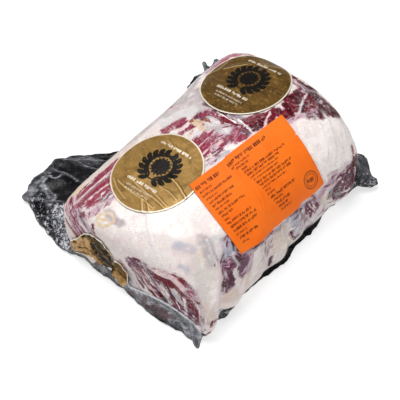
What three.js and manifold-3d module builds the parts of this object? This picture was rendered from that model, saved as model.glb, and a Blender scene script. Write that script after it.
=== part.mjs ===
// A whole boneless ribeye, shut in a vacuum bag that has a clear front sheet and a black back
// sheet, with two round gold labels on top, one crumpled on the end and one orange label.
// Millimetres, +Z up, from the middle of the flat underside. +X runs along the meat, away from
// the end with the wide wing of film, and +Y to the side where that wing lies.

import * as THREE from 'three';
import { mergeVertices } from 'three/addons/utils/BufferGeometryUtils.js';
import Module from 'manifold-3d';

const wasm = await Module();
wasm.setup();

// The loaf: reaches from the point that its surface is worked out from
const MIDDLE_X = 16;
const MIDDLE_Y = -5;
const REACH_LEFT = 154;
const REACH_RIGHT = 122.5;
const REACH_BACK = 108;
const REACH_FRONT = 105;
const RISE = 75.5; // top above the widest level
const WAIST = 45; // widest level above the floor
const SINK = 1.35; // how far the round underside would pass through the floor, in waists
const CELLS = { x: 34, y: 20, z: 15 }; // facets along the loaf, across it and up it

// How square the loaf is: 2 is round and 10 nearly a box
const ENDS = { left: 10, leftFront: 5.2, right: 8.4 };
const SIDES = { back: 4, front: 1.8, under: 3.2 };

// How the top leans and how the sides draw in
const CROWN = { along: 0.17, across: -0.2, sag: -0.17 };
const SKEW = { left: -7, right: 5.5 };
const BOW = 3.5;
const FRONT_WAIST = 13.5;
const BACK_WAIST = -4.7;
const MIDDLE_OF_SQUARE = 0.3;

// Rolls of fat (positive lift) and creases (negative) that the film has drawn tight
const FOLDS = [
  { width: 11, lift: 7.5, path: [[-96, -89, 71], [-114, -96, 50], [-125, -90, 4]] },
  { width: 8, lift: -8, path: [[-83, -85, 80], [-99, -94, 62], [-109, -98, 4]] },
  { width: 12, lift: 4, path: [[-40, -89, 79], [-60, -96, 60], [-84, -96, 10]] },
  { width: 7, lift: -3.5, path: [[-24, -95, 66], [-28, -96, 8]] },
  { width: 9, lift: 2.5, path: [[-8, -97, 58], [-4, -96, 8]] },
  { width: 6, lift: -4, path: [[-2, -94, 68], [14, -97, 8]] },
  { width: 6.5, lift: -4, path: [[30, -93, 72], [44, -97, 8]] },
  { width: 6.5, lift: -3.5, path: [[61, -96, 63], [82, -97, 8]] },
  { width: 16, lift: 4.5, path: [[97, -97, 58], [113, -95, 8]] },
  { width: 12, lift: -3, path: [[-139, -4, 42], [-136, -31, 47], [-130, -82, 42]] },
  { width: 28, lift: 3, path: [[83, -67, 111], [78, -87, 87]] },
];
const UNEVEN = { lift: 0.7, x: 17, y: 29, y2: 21, z: 25 }; // slow unevenness all over
const FLOOR_FADE = 12; // folds lose their upward part over this height above the floor

// The film round the foot of the loaf. Each row is a point of its free edge, x, y and z, and
// the height at which the film leaves the meat on the way from the middle to that point.
const FILM_THICK = 2.4; // both sheets with the air and folds between them
const FILM_TUCK = 9; // how far the film's root is sunk into the loaf
const FILM_LOWEST = 0.3;
const FILM_EVEN = 5; // neighbours on each side that even out the way to the root
const FILM_CELLS = { around: 116, across: 3 };
const FILM_DROP = 1.6; // above 1, the film drops near the meat and then lies along the floor
const FILM_WAVE = 1.6;
const FILM_WAVES = 13;
const FILM_EDGE = [
  // tail at the near corner
  [-119, -86, 2, 4], [-130, -92, 2, 16], [-141, -97, 2, 26], [-138, -84, 3, 28],
  // skirt along the left end, low where the crumpled label stands on it
  [-140, -69, 3, 30], [-143, -47, 3, 29], [-144, -27, 2, 24], [-142, -6, 3, 12],
  [-141, 22, 3, 7], [-143, 45, 3, 7], [-140, 66, 4, 7],
  // wing
  [-145, 82, 6, 7], [-150, 90, 6, 8], [-147, 109, 5, 14], [-143, 130, 4, 26],
  [-136, 154, 6, 32], [-133, 171, 14, 34], [-112, 182, 10, 34], [-90, 186, 4, 34],
  [-76, 187, 4, 34], [-65, 183, 10, 33], [-54, 175, 12, 32], [-45, 168, 10, 31],
  [-37, 160, 9, 30], [-28, 150, 10, 30], [-13, 136, 13, 28],
  // narrow border along the back
  [10, 122, 10, 26], [50, 114, 5, 24], [88, 120, 10, 24],
  // fin and tufts at the far corner
  [106, 137, 20, 28], [130, 144, 20, 32], [136, 139, 22, 36], [138, 141, 38, 44],
  [140, 131, 36, 46], [149, 132, 40, 46], [148, 118, 42, 44],
  // border round the right end
  [151, 92, 18, 34], [150, 60, 6, 24], [149, 20, 4, 20], [149, -20, 5, 20], [151, -48, 10, 26],
  // ear
  [160, -69, 18, 36], [161, -86, 19, 38], [152, -100, 13, 34], [148, -114, 10, 26],
  [138, -110, 9, 20], [131, -99, 14, 14],
  // strip along the front
  [110, -93, 2, 4], [80, -89, 1.6, 3], [64, -94, 1.6, 3], [39, -95.5, 1.6, 3],
  [22, -94, 1.6, 3], [0, -98.5, 1.6, 3], [-24, -94, 1.6, 3], [-48, -91, 1.6, 3],
  // small ear
  [-74, -91, 2, 4], [-88, -94, 4, 5], [-100, -95, 4, 6], [-106, -89, 3, 4],
];

// Labels, each named by the point of the loaf under its middle and by the way its a side runs
const LABEL_GAP = 0.9;
const LABEL_THICK = 0.7;
const OVERLAP = { rise: 1.1, reach: 12, slope: 9 }; // where the orange label crosses a gold one
const WALK_STEPS = 24;
const ROUND_LABEL = { radius: 50, rings: 4, sectors: 24 };
const LABEL_FRONT_AT = [-59.9, 31.9, 110.5];
const LABEL_BACK_AT = [84.6, 34, 122.4];
const END_LABEL = { at: [-141, 48, 23], radius: 50, cut: -10, across: 14, up: 5 };
const ORANGE = { at: [1.4, -62, 113.7], width: 127, height: 88.5, turn: -0.108, across: 14, up: 10 };

const COLOURS = { pack: 0xdcc9c7, gold: 0x8d6c3c, orange: 0xfd7a2c };

function blend(t, low, high, steep = 2.5) {
  return low + (high - low) * (0.5 + 0.5 * Math.tanh(steep * t));
}

function smooth(t) {
  const c = Math.min(Math.max(t, 0), 1);
  return c * c * (3 - 2 * c);
}

// A point of the smooth loaf in the direction d from its middle: a rounded box whose squareness
// changes from end to end and from side to side
function loaf(d) {
  const endLeft = blend(d.z, ENDS.left, blend(d.y, ENDS.leftFront, ENDS.left));
  const end = blend(d.x, endLeft, ENDS.right);
  const side = blend(d.z, SIDES.under, blend(d.y, SIDES.front, SIDES.back, 6), 6);
  const girth = (Math.abs(d.y) ** side + Math.abs(d.z) ** side) ** (1 / side);
  const far = (Math.abs(d.x) ** end + girth ** end) ** (-1 / end);
  const u = far * d.x;
  const v = far * d.y;
  const w = far * d.z;
  const square = u * u - MIDDLE_OF_SQUARE;
  const x = (u < 0 ? REACH_LEFT : REACH_RIGHT) * u + (u < 0 ? SKEW.left : SKEW.right) * v * Math.abs(u);
  const drawnFront = FRONT_WAIST * (1 - Math.abs(u) ** 5);
  const drawnBack = BACK_WAIST * Math.cos((Math.PI / 2) * Math.min(Math.abs(u), 1)) ** 2;
  const y = (v < 0 ? REACH_FRONT : REACH_BACK) * v + BOW * square + (v < 0 ? drawnFront : drawnBack) * v * v;
  const crown = RISE * (1 + CROWN.along * u + CROWN.across * v + CROWN.sag * square);
  const z = WAIST + (w < 0 ? WAIST * SINK : crown) * w;
  return new THREE.Vector3(x + MIDDLE_X, y + MIDDLE_Y, Math.max(z, 0));
}

function distanceToPath(p, path) {
  const near = new THREE.Vector3();
  let least = Infinity;
  for (let i = 1; i < path.length; i += 1) {
    const line = new THREE.Line3(new THREE.Vector3(...path[i - 1]), new THREE.Vector3(...path[i]));
    line.closestPointToPoint(p, true, near);
    least = Math.min(least, near.distanceTo(p));
  }
  return least;
}

// How far the folds and the slow unevenness move the smooth point p, outwards
function relief(p) {
  let lift = UNEVEN.lift * Math.sin(p.x / UNEVEN.x + p.y / UNEVEN.y);
  lift *= Math.sin(p.y / UNEVEN.y2 - p.z / UNEVEN.z);
  for (const fold of FOLDS) {
    lift += fold.lift * Math.exp(-((distanceToPath(p, fold.path) / fold.width) ** 2));
  }
  const out = new THREE.Vector3(
    (p.x - MIDDLE_X / 2) / REACH_LEFT ** 2,
    p.y / REACH_BACK ** 2,
    (p.z - WAIST) / RISE ** 2,
  ).normalize();
  out.z *= smooth(p.z / FLOOR_FADE);
  return out.multiplyScalar(lift);
}

function surface(d) {
  const p = loaf(d);
  p.add(relief(p));
  p.z = Math.max(p.z, 0);
  return p;
}

function toManifold(geometry) {
  const vertProperties = new Float32Array(geometry.attributes.position.array);
  const triVerts = new Uint32Array(geometry.index.array);
  return new wasm.Manifold(new wasm.Mesh({ numProp: 3, vertProperties, triVerts }));
}

function fromManifold(solid) {
  const mesh = solid.getMesh();
  const geometry = new THREE.BufferGeometry();
  geometry.setAttribute('position', new THREE.BufferAttribute(mesh.vertProperties, 3));
  geometry.setIndex(new THREE.BufferAttribute(mesh.triVerts, 1));
  return geometry;
}

function closedGeometry(points, triangles) {
  const geometry = new THREE.BufferGeometry().setFromPoints(points);
  geometry.setIndex(triangles);
  return geometry;
}

// A box of even cells blown out to the loaf, so that it has no poles
function loafGeometry() {
  const box = new THREE.BoxGeometry(2, 2, 2, CELLS.x, CELLS.y, CELLS.z);
  box.deleteAttribute('normal');
  box.deleteAttribute('uv');
  const merged = mergeVertices(box, 1e-5);
  const position = merged.attributes.position;
  const even = (t) => Math.tan((t * Math.PI) / 4);
  for (let i = 0; i < position.count; i += 1) {
    const d = new THREE.Vector3(even(position.getX(i)), even(position.getY(i)), even(position.getZ(i)));
    position.setXYZ(i, ...surface(d.normalize()).toArray());
  }
  return merged;
}

// Level directions from the middle towards the free edge's points. Each is the mean of its
// neighbours, so that the film's root runs on evenly where the edge has a sharp ear.
function rootDirections(edges) {
  const flat = edges.map((edge) => {
    const x = (edge.x - MIDDLE_X) / (edge.x < MIDDLE_X ? REACH_LEFT : REACH_RIGHT);
    const y = (edge.y - MIDDLE_Y) / (edge.y < MIDDLE_Y ? REACH_FRONT : REACH_BACK);
    return new THREE.Vector3(x, y, 0).normalize();
  });
  return flat.map((_, i) => {
    const mean = new THREE.Vector3();
    for (let k = -FILM_EVEN; k <= FILM_EVEN; k += 1) {
      mean.add(flat[(i + k + flat.length) % flat.length]);
    }
    return mean.normalize();
  });
}

// Where the film leaves the meat: at the height given, in the level direction flat
function filmRoot(flat, height) {
  let low = -1.2;
  let high = 1.2;
  let point = flat;
  for (let i = 0; i < 24; i += 1) {
    const tilt = (low + high) / 2;
    point = surface(flat.clone().multiplyScalar(Math.cos(tilt)).setZ(Math.sin(tilt)));
    if (point.z < height) low = tilt;
    else high = tilt;
  }
  const inward = new THREE.Vector3(MIDDLE_X - point.x, MIDDLE_Y - point.y, 0);
  return point.add(inward.setLength(FILM_TUCK));
}

// The middle layer of the film: rows of points from the root to the free edge
function filmRows() {
  const curve = new THREE.CatmullRomCurve3(
    FILM_EDGE.map(([x, y, z]) => new THREE.Vector3(x, y, z)), true, 'centripetal');
  const roots = new THREE.CatmullRomCurve3(
    FILM_EDGE.map(([, , , height], i) => new THREE.Vector3(i, height, 0)), true, 'centripetal');
  const steps = Array.from({ length: FILM_CELLS.around }, (_, i) => i / FILM_CELLS.around);
  const edges = steps.map((t) => curve.getPoint(t));
  const directions = rootDirections(edges);
  return steps.map((t, i) => {
    const edge = edges[i];
    const root = filmRoot(directions[i], Math.max(roots.getPoint(t).y, 2));
    const row = [];
    for (let j = 0; j <= FILM_CELLS.across; j += 1) {
      const s = j / FILM_CELLS.across;
      const p = root.clone().lerp(edge, s);
      const width = root.distanceTo(edge);
      const wave = FILM_WAVE * Math.min(width / 40, 1) * Math.sin(2 * Math.PI * (FILM_WAVES * t + s));
      p.z = edge.z + (root.z - edge.z) * (1 - s) ** FILM_DROP + wave * 4 * s * (1 - s);
      p.z = Math.max(p.z, FILM_LOWEST + FILM_THICK / 2);
      row.push(p);
    }
    return row;
  });
}

// A ring of film with both faces split into triangles alike
function filmGeometry() {
  const rows = filmRows();
  const around = rows.length;
  const across = FILM_CELLS.across + 1;
  const at = (i, j) => rows[(i + around) % around][Math.min(Math.max(j, 0), across - 1)];
  const points = [];
  for (const side of [1, -1]) {
    for (let i = 0; i < around; i += 1) {
      for (let j = 0; j < across; j += 1) {
        const along = at(i + 1, j).clone().sub(at(i - 1, j));
        const out = at(i, j + 1).clone().sub(at(i, j - 1));
        const normal = along.cross(out).normalize();
        const p = at(i, j).clone().addScaledVector(normal, (side * FILM_THICK) / 2);
        p.z = Math.max(p.z, FILM_LOWEST);
        points.push(p);
      }
    }
  }
  const id = (side, i, j) => side * around * across + (i % around) * across + j;
  const triangles = [];
  const quad = (a, b, c, d) => triangles.push(a, b, c, a, c, d);
  for (let i = 0; i < around; i += 1) {
    for (let j = 0; j < across - 1; j += 1) {
      quad(id(0, i, j), id(0, i + 1, j), id(0, i + 1, j + 1), id(0, i, j + 1));
      quad(id(1, i, j), id(1, i, j + 1), id(1, i + 1, j + 1), id(1, i + 1, j));
    }
    const last = across - 1;
    quad(id(0, i, last), id(0, i + 1, last), id(1, i + 1, last), id(1, i, last));
    quad(id(0, i, 0), id(1, i, 0), id(1, i + 1, 0), id(0, i + 1, 0));
  }
  return closedGeometry(points, triangles);
}

// The loaf's point at d, its outward normal, and how it moves when d turns a little
function patchAt(d) {
  const turn = 1e-4;
  const helper = Math.abs(d.z) < 0.9 ? new THREE.Vector3(0, 0, 1) : new THREE.Vector3(1, 0, 0);
  const sideways = helper.cross(d).normalize();
  const upwards = d.clone().cross(sideways);
  const point = loaf(d);
  const moved = (way) => loaf(d.clone().addScaledVector(way, turn).normalize()).sub(point).divideScalar(turn);
  const alongSide = moved(sideways);
  const alongUp = moved(upwards);
  const normal = alongSide.clone().cross(alongUp).normalize();
  return { point, normal, sideways, upwards, alongSide, alongUp };
}

// Turns d so that the loaf's point moves by step, as nearly as the surface allows
function turned(d, patch, step) {
  const a = patch.alongSide.dot(patch.alongSide);
  const b = patch.alongSide.dot(patch.alongUp);
  const c = patch.alongUp.dot(patch.alongUp);
  const first = step.dot(patch.alongSide);
  const second = step.dot(patch.alongUp);
  const size = a * c - b * b;
  return d.clone()
    .addScaledVector(patch.sideways, (c * first - b * second) / size)
    .addScaledVector(patch.upwards, (a * second - b * first) / size)
    .normalize();
}

function directionOf([x, y, z]) {
  const target = new THREE.Vector3(x, y, z);
  let d = new THREE.Vector3(x - MIDDLE_X, y - MIDDLE_Y, z - WAIST).normalize();
  for (let i = 0; i < 60; i += 1) {
    const patch = patchAt(d);
    const miss = target.clone().sub(patch.point);
    d = turned(d, patch, miss.addScaledVector(patch.normal, -miss.dot(patch.normal)).clampLength(0, 12));
  }
  return d;
}

// Lays the label's flat point (a, b) on the loaf: a straight walk over the surface from middle
function layOn(middle, right, a, b) {
  const length = Math.hypot(a, b);
  let d = middle.clone();
  let patch = patchAt(d);
  if (length > 0) {
    const ahead = right.clone().addScaledVector(patch.normal, -right.dot(patch.normal)).normalize();
    const up = patch.normal.clone().cross(ahead);
    const way = ahead.multiplyScalar(a / length).addScaledVector(up, b / length);
    for (let i = 0; i < WALK_STEPS; i += 1) {
      way.addScaledVector(patch.normal, -way.dot(patch.normal)).normalize();
      d = turned(d, patch, way.clone().multiplyScalar(length / WALK_STEPS));
      patch = patchAt(d);
    }
  }
  return { point: surface(d), normal: patch.normal };
}

// How much higher a label lies at a point where the front gold label is under it
function overFrontLabel(point) {
  const past = ROUND_LABEL.radius + OVERLAP.reach - point.distanceTo(new THREE.Vector3(...LABEL_FRONT_AT));
  return OVERLAP.rise * smooth(past / OVERLAP.slope);
}

// A thin label solid from a flat grid of (a, b) points, closed round its rim. extra gives how
// much higher than the loaf's own gap each point lies.
function labelGeometry(at, right, flat, triangles, rim, extra = () => 0) {
  const middle = directionOf(at);
  const laid = flat.map(([a, b]) => layOn(middle, right, a, b));
  const lift = (height) => laid.map(
    ({ point, normal }) => point.clone().addScaledVector(normal, height + extra(point)));
  const points = [...lift(LABEL_GAP + LABEL_THICK), ...lift(LABEL_GAP)];
  const count = flat.length;
  const all = [...triangles];
  for (let i = 0; i < triangles.length; i += 3) {
    all.push(count + triangles[i], count + triangles[i + 2], count + triangles[i + 1]);
  }
  rim.forEach((from, i) => {
    const to = rim[(i + 1) % rim.length];
    all.push(from, count + from, count + to, from, count + to, to);
  });
  return closedGeometry(points, all);
}

function roundLabel(at) {
  const { radius, rings, sectors } = ROUND_LABEL;
  const flat = [[0, 0]];
  const triangles = [];
  for (let ring = 1; ring <= rings; ring += 1) {
    for (let k = 0; k < sectors; k += 1) {
      const angle = (2 * Math.PI * k) / sectors;
      flat.push([(radius * ring * Math.cos(angle)) / rings, (radius * ring * Math.sin(angle)) / rings]);
    }
  }
  const id = (ring, k) => 1 + (ring - 1) * sectors + (k % sectors);
  for (let k = 0; k < sectors; k += 1) {
    triangles.push(0, id(1, k), id(1, k + 1));
    for (let ring = 1; ring < rings; ring += 1) {
      triangles.push(id(ring, k), id(ring + 1, k), id(ring + 1, k + 1));
      triangles.push(id(ring, k), id(ring + 1, k + 1), id(ring, k + 1));
    }
  }
  const rim = Array.from({ length: sectors }, (_, k) => id(rings, k));
  return labelGeometry(at, new THREE.Vector3(1, 0, 0), flat, triangles, rim);
}

// A label from a grid whose place gives the flat point for two numbers from 0 to 1
function griddedLabel(at, right, across, up, place, extra) {
  const flat = [];
  const triangles = [];
  for (let j = 0; j <= up; j += 1) {
    for (let i = 0; i <= across; i += 1) flat.push(place(i / across, j / up));
  }
  const id = (i, j) => j * (across + 1) + i;
  for (let j = 0; j < up; j += 1) {
    for (let i = 0; i < across; i += 1) {
      triangles.push(id(i, j), id(i + 1, j), id(i + 1, j + 1), id(i, j), id(i + 1, j + 1), id(i, j + 1));
    }
  }
  const rim = [];
  for (let i = 0; i < across; i += 1) rim.push(id(i, 0));
  for (let j = 0; j < up; j += 1) rim.push(id(across, j));
  for (let i = across; i > 0; i -= 1) rim.push(id(i, up));
  for (let j = up; j > 0; j -= 1) rim.push(id(0, j));
  return labelGeometry(at, right, flat, triangles, rim, extra);
}

function orangeLabel() {
  const { at, width, height, turn, across, up } = ORANGE;
  const right = new THREE.Vector3(Math.cos(turn), Math.sin(turn), 0);
  const place = (s, t) => [width * (s - 0.5), height * (t - 0.5)];
  return griddedLabel(at, right, across, up, place, overFrontLabel);
}

// The crumpled round label shows only above the line where it is folded under
function endLabel() {
  const { at, radius, cut, across, up } = END_LABEL;
  const half = 0.97 * Math.sqrt(radius ** 2 - cut ** 2);
  const place = (s, t) => {
    const a = half * (2 * s - 1);
    return [a, cut + t * (Math.sqrt(radius ** 2 - a ** 2) - cut)];
  };
  return griddedLabel(at, new THREE.Vector3(0, -1, 0), across, up, place);
}

function named(name, geometry, color, roughness) {
  const mesh = new THREE.Mesh(geometry, new THREE.MeshStandardMaterial({ color, roughness, metalness: 0 }));
  mesh.name = name;
  return mesh;
}

const pack = fromManifold(toManifold(loafGeometry()).add(toManifold(filmGeometry())));

const group = new THREE.Group();
group.add(
  named('vacuum_pack', pack, COLOURS.pack, 0.3),
  named('gold_label_front', roundLabel(LABEL_FRONT_AT), COLOURS.gold, 0.45),
  named('gold_label_back', roundLabel(LABEL_BACK_AT), COLOURS.gold, 0.45),
  named('gold_label_end', endLabel(), COLOURS.gold, 0.45),
  named('orange_label', orangeLabel(), COLOURS.orange, 0.6),
);

export default group;
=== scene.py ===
# %% [markdown]
# # A vacuum-packed ribeye
# A whole boneless ribeye lies in a tight vacuum bag. The front sheet of the bag is clear and
# drawn over white fat and dark red lean, and the back sheet is black. Two round gold labels and
# an orange one are stuck on top, and a third gold label is crumpled on the end. This lesson
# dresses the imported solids: the meat, the clear film, the black sheet, the loose border of film
# and the four labels, each worked out as arrays of points.

import bpy
import numpy as np
from mathutils import Matrix, Vector


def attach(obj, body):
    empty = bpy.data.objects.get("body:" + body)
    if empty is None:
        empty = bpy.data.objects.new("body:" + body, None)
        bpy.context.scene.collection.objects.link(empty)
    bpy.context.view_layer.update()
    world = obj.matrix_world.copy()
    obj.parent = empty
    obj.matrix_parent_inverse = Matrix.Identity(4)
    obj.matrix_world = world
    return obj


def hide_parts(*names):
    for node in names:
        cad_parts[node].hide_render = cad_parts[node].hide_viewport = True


MM = 0.001  # all sizes below are millimetres
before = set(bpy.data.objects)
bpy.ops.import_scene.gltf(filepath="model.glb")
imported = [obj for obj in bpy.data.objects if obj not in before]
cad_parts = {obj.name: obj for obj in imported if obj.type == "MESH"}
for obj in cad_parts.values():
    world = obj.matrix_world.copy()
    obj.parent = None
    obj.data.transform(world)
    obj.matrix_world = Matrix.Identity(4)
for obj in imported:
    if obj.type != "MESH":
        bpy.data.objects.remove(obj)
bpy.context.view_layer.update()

# %% [markdown]
# ## From arrays to meshes
# Every piece is an array of points and an array of faces. One helper puts them into a mesh,
# with a UV map and named values for each point that the materials can read. Another gives the
# outward direction at each point. Smooth random fields come from value noise: random numbers on
# a lattice, blended between its corners, so the same place always gets the same value.

# %% Meshes, directions and noise
SEED = 11


def unit(v):
    """v / |v| along the last axis."""
    return v / np.maximum(np.linalg.norm(v, axis=-1, keepdims=True), 1e-12)


def smooth(t):
    """3t^2 - 2t^3 with t held between 0 and 1."""
    t = np.clip(t, 0, 1)
    return t * t * (3 - 2 * t)


def linear(r, g, b):
    """A screen colour of 0 to 255 as the linear colour that shaders use."""
    c = np.array([r, g, b], float) / 255
    return np.where(c <= 0.04045, c / 12.92, ((c + 0.055) / 1.055) ** 2.4)


def make_mesh(name, points, faces, values=None, uv=None):
    """Points in millimetres and rows of vertex numbers become a smooth-shaded object at the origin."""
    mesh = bpy.data.meshes.new(name)
    rows = [row for part in faces for row in np.asarray(part).tolist()]
    mesh.from_pydata((np.asarray(points) * MM).tolist(), [], rows)
    mesh.polygons.foreach_set("use_smooth", np.ones(len(mesh.polygons), bool))
    if uv is not None:
        corner = np.zeros(len(mesh.loops), np.int32)
        mesh.loops.foreach_get("vertex_index", corner)
        layer = mesh.uv_layers.new(name="flat")
        layer.data.foreach_set("uv", np.asarray(uv, np.float32)[corner].ravel())
    for key, data in (values or {}).items():
        data = np.asarray(data, np.float32)
        if data.ndim == 1:
            mesh.attributes.new(key, "FLOAT", "POINT").data.foreach_set("value", data)
        else:
            mesh.attributes.new(key, "FLOAT_VECTOR", "POINT").data.foreach_set("vector", data.ravel())
    mesh.update()
    piece = bpy.data.objects.new(name, mesh)
    bpy.context.scene.collection.objects.link(piece)
    print(name, len(mesh.vertices), "points,", len(mesh.polygons), "faces")
    return piece


def outward(points, quads):
    """Point normals: the sum of (c - a) x (d - b) over the quads a, b, c, d at each point, made unit."""
    a, b, c, d = (points[quads[:, i]] for i in range(4))
    face = np.cross(c - a, d - b)
    total = np.zeros_like(points)
    for i in range(4):
        for axis in range(3):
            total[:, axis] += np.bincount(quads[:, i], face[:, axis], len(points))
    return unit(total)


def lattice_value(cell, seed):
    """A fixed random number from -1 to 1 for each whole-number cell."""
    i, j, k = (cell[..., n].astype(np.int64).astype(np.uint32) for n in range(3))
    h = i * np.uint32(0x8DA6B343) ^ j * np.uint32(0xD8163841) ^ k * np.uint32(0xCB1AB31F)
    h ^= np.uint32(seed * 7919 + SEED)
    for shift in (15, 13, 16):
        h ^= h >> np.uint32(shift)
        h *= np.uint32(0x2C1B3C6D)
    return (h >> np.uint32(8)).astype(float) / 2**23 - 1


def noise(points, size, seed, octaves=1):
    """Value noise: sum over octaves of 2^-n * blend(lattice values at 2^n * p / size)."""
    total = np.zeros(points.shape[:-1])
    for octave in range(octaves):
        p = points * (2.0**octave) / np.asarray(size, float)
        cell = np.floor(p)
        f = smooth(p - cell)
        value = 0
        for corner in np.ndindex(2, 2, 2):
            weight = np.prod(np.where(np.array(corner) == 1, f, 1 - f), axis=-1)
            value = value + weight * lattice_value(cell + np.array(corner), seed + octave)
        total += value * 0.5**octave
    return total


def ridges(points, size, seed, sharp=6):
    """Thin crests where value noise crosses zero: (1 - |noise|) ^ sharp."""
    return (1 - np.minimum(np.abs(noise(points, size, seed)), 1)) ** sharp


def near_path(points, path):
    """Distance to a broken line of points, the length along it, and the way that its nearest piece runs."""
    path = np.asarray(path, float)
    if len(path) == 1:
        path = np.vstack([path, path + [1, 0, 0]])
    best = np.full(len(points), np.inf)
    along = np.zeros(len(points))
    way = np.zeros_like(points)
    done = 0.0
    for a, b in zip(path[:-1], path[1:]):
        step = b - a
        t = np.clip(((points - a) @ step) / (step @ step), 0, 1)
        gap = np.linalg.norm(points - a - t[:, None] * step, axis=-1)
        closer = gap < best
        best = np.where(closer, gap, best)
        along = np.where(closer, done + ((points - a) @ step) / np.linalg.norm(step), along)
        way[closer] = unit(step)
        done += np.linalg.norm(step)
    return best, along, way


# %% [markdown]
# ## The form of the loaf
# The meat is a rounded box whose ends are nearly square and whose front side is almost round. A
# point of it is worked out from a direction d. The radius is that of a superellipsoid,
# (|x|^n + |g|^n)^(-1/n) with girth g = (|y|^q + |z|^q)^(1/q), and the powers n and q change with
# the direction. Rolls of fat and creases are bumps with a bell-shaped section along short paths.
# These are the same formulas that the solid follows, so the dressed piece keeps its form.

# %% Loaf formulas
MIDDLE = np.array([16.0, -5.0])
REACH = {"left": 154, "right": 122.5, "back": 108, "front": 105}
RISE = 75.5
WAIST = 45.0
SINK = 1.35
ENDS = {"left": 10, "left_front": 5.2, "right": 8.4}
SIDES = {"back": 4, "front": 1.8, "under": 3.2}
CROWN = {"along": 0.17, "across": -0.2, "sag": -0.17}
SKEW = {"left": -7, "right": 5.5}
BOW = 3.5
FRONT_WAIST = 13.5
BACK_WAIST = -4.7
MIDDLE_OF_SQUARE = 0.3
UNEVEN = {"lift": 0.7, "x": 17, "y": 29, "y2": 21, "z": 25}
FLOOR_FADE = 12
FOLDS = [  # width, lift, path
    (11, 7.5, [(-96, -89, 71), (-114, -96, 50), (-125, -90, 4)]),
    (8, -8, [(-83, -85, 80), (-99, -94, 62), (-109, -98, 4)]),
    (12, 4, [(-40, -89, 79), (-60, -96, 60), (-84, -96, 10)]),
    (7, -3.5, [(-24, -95, 66), (-28, -96, 8)]),
    (9, 2.5, [(-8, -97, 58), (-4, -96, 8)]),
    (6, -4, [(-2, -94, 68), (14, -97, 8)]),
    (6.5, -4, [(30, -93, 72), (44, -97, 8)]),
    (6.5, -3.5, [(61, -96, 63), (82, -97, 8)]),
    (16, 4.5, [(97, -97, 58), (113, -95, 8)]),
    (12, -3, [(-139, -4, 42), (-136, -31, 47), (-130, -82, 42)]),
    (28, 3, [(83, -67, 111), (78, -87, 87)]),
]


def blend(t, low, high, steep=2.5):
    """low + (high - low) (1 + tanh(steep t)) / 2."""
    return low + (high - low) * (0.5 + 0.5 * np.tanh(steep * t))


def loaf(d):
    """The smooth loaf in the unit direction d: superellipsoid radius, then reach, skew, waist and crown."""
    dx, dy, dz = d[..., 0], d[..., 1], d[..., 2]
    left = blend(dz, ENDS["left"], blend(dy, ENDS["left_front"], ENDS["left"]))
    end = blend(dx, left, ENDS["right"])
    side = blend(dz, SIDES["under"], blend(dy, SIDES["front"], SIDES["back"], 6), 6)
    girth = (np.abs(dy) ** side + np.abs(dz) ** side) ** (1 / side)
    far = (np.abs(dx) ** end + girth**end) ** (-1 / end)
    u, v, w = far * dx, far * dy, far * dz
    square = u * u - MIDDLE_OF_SQUARE
    skew = np.where(u < 0, SKEW["left"], SKEW["right"]) * v * np.abs(u)
    x = np.where(u < 0, REACH["left"], REACH["right"]) * u + skew
    front = FRONT_WAIST * (1 - np.abs(u) ** 5)
    back = BACK_WAIST * np.cos(np.pi / 2 * np.clip(u, -1, 1)) ** 2
    y = np.where(v < 0, REACH["front"], REACH["back"]) * v + BOW * square
    y = y + np.where(v < 0, front, back) * v * v
    crown = RISE * (1 + CROWN["along"] * u + CROWN["across"] * v + CROWN["sag"] * square)
    z = WAIST + np.where(w < 0, WAIST * SINK, crown) * w
    return np.stack([x + MIDDLE[0], y + MIDDLE[1], np.maximum(z, 0)], -1)


def relief(p):
    """Slow unevenness and the folds, lift * exp(-(distance / width)^2), moved away from the middle."""
    flat = p.reshape(-1, 3)
    lift = UNEVEN["lift"] * np.sin(flat[:, 0] / UNEVEN["x"] + flat[:, 1] / UNEVEN["y"])
    lift = lift * np.sin(flat[:, 1] / UNEVEN["y2"] - flat[:, 2] / UNEVEN["z"])
    for width, high, path in FOLDS:
        lift = lift + high * np.exp(-((near_path(flat, path)[0] / width) ** 2))
    away = flat - [MIDDLE[0] / 2, 0, WAIST]
    out = unit(away / [REACH["left"] ** 2, REACH["back"] ** 2, RISE**2])
    move = lift[:, None] * out
    move[:, 2] *= smooth(flat[:, 2] / FLOOR_FADE)
    return move.reshape(p.shape)


def surface(d):
    """The loaf with its folds, no lower than the floor."""
    p = loaf(d)
    p = p + relief(p)
    p[..., 2] = np.maximum(p[..., 2], 0)
    return p


print("loaf at its middle top:", surface(np.array([[0, 0, 1.0]])).round(1).tolist())

# %% [markdown]
# ## A lattice without poles
# A ball of rings and slices has two poles where faces crowd together. Here the directions come
# from the surface of a box with even cells, blown out to a ball, so cells stay alike all over
# and the marbling that they carry is as fine on the ends as on top.

# %% Directions on a box
def box_lattice(nx, ny, nz):
    """Directions tan(pi/4 * (2i/n - 1)) on the six faces of a box, joined at the edges, and their quads."""
    count = (nx, ny, nz)
    cells, quads, start = [], [], 0
    for axis in range(3):
        b, c = (axis + 1) % 3, (axis + 2) % 3
        for far in (0, count[axis]):
            i, j = np.meshgrid(np.arange(count[b] + 1), np.arange(count[c] + 1), indexing="ij")
            cell = np.zeros(i.shape + (3,), int)
            cell[..., axis], cell[..., b], cell[..., c] = far, i, j
            number = start + np.arange(i.size).reshape(i.shape)
            ring = [number[:-1, :-1], number[1:, :-1], number[1:, 1:], number[:-1, 1:]]
            quad = np.stack(ring, -1).reshape(-1, 4)
            quads.append(quad if far else quad[:, ::-1])
            cells.append(cell.reshape(-1, 3))
            start += i.size
    cells, number = np.unique(np.vstack(cells), axis=0, return_inverse=True)
    quads = number.reshape(-1)[np.vstack(quads)]
    return unit(np.tan((2 * cells / np.array(count) - 1) * np.pi / 4)), quads


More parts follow.
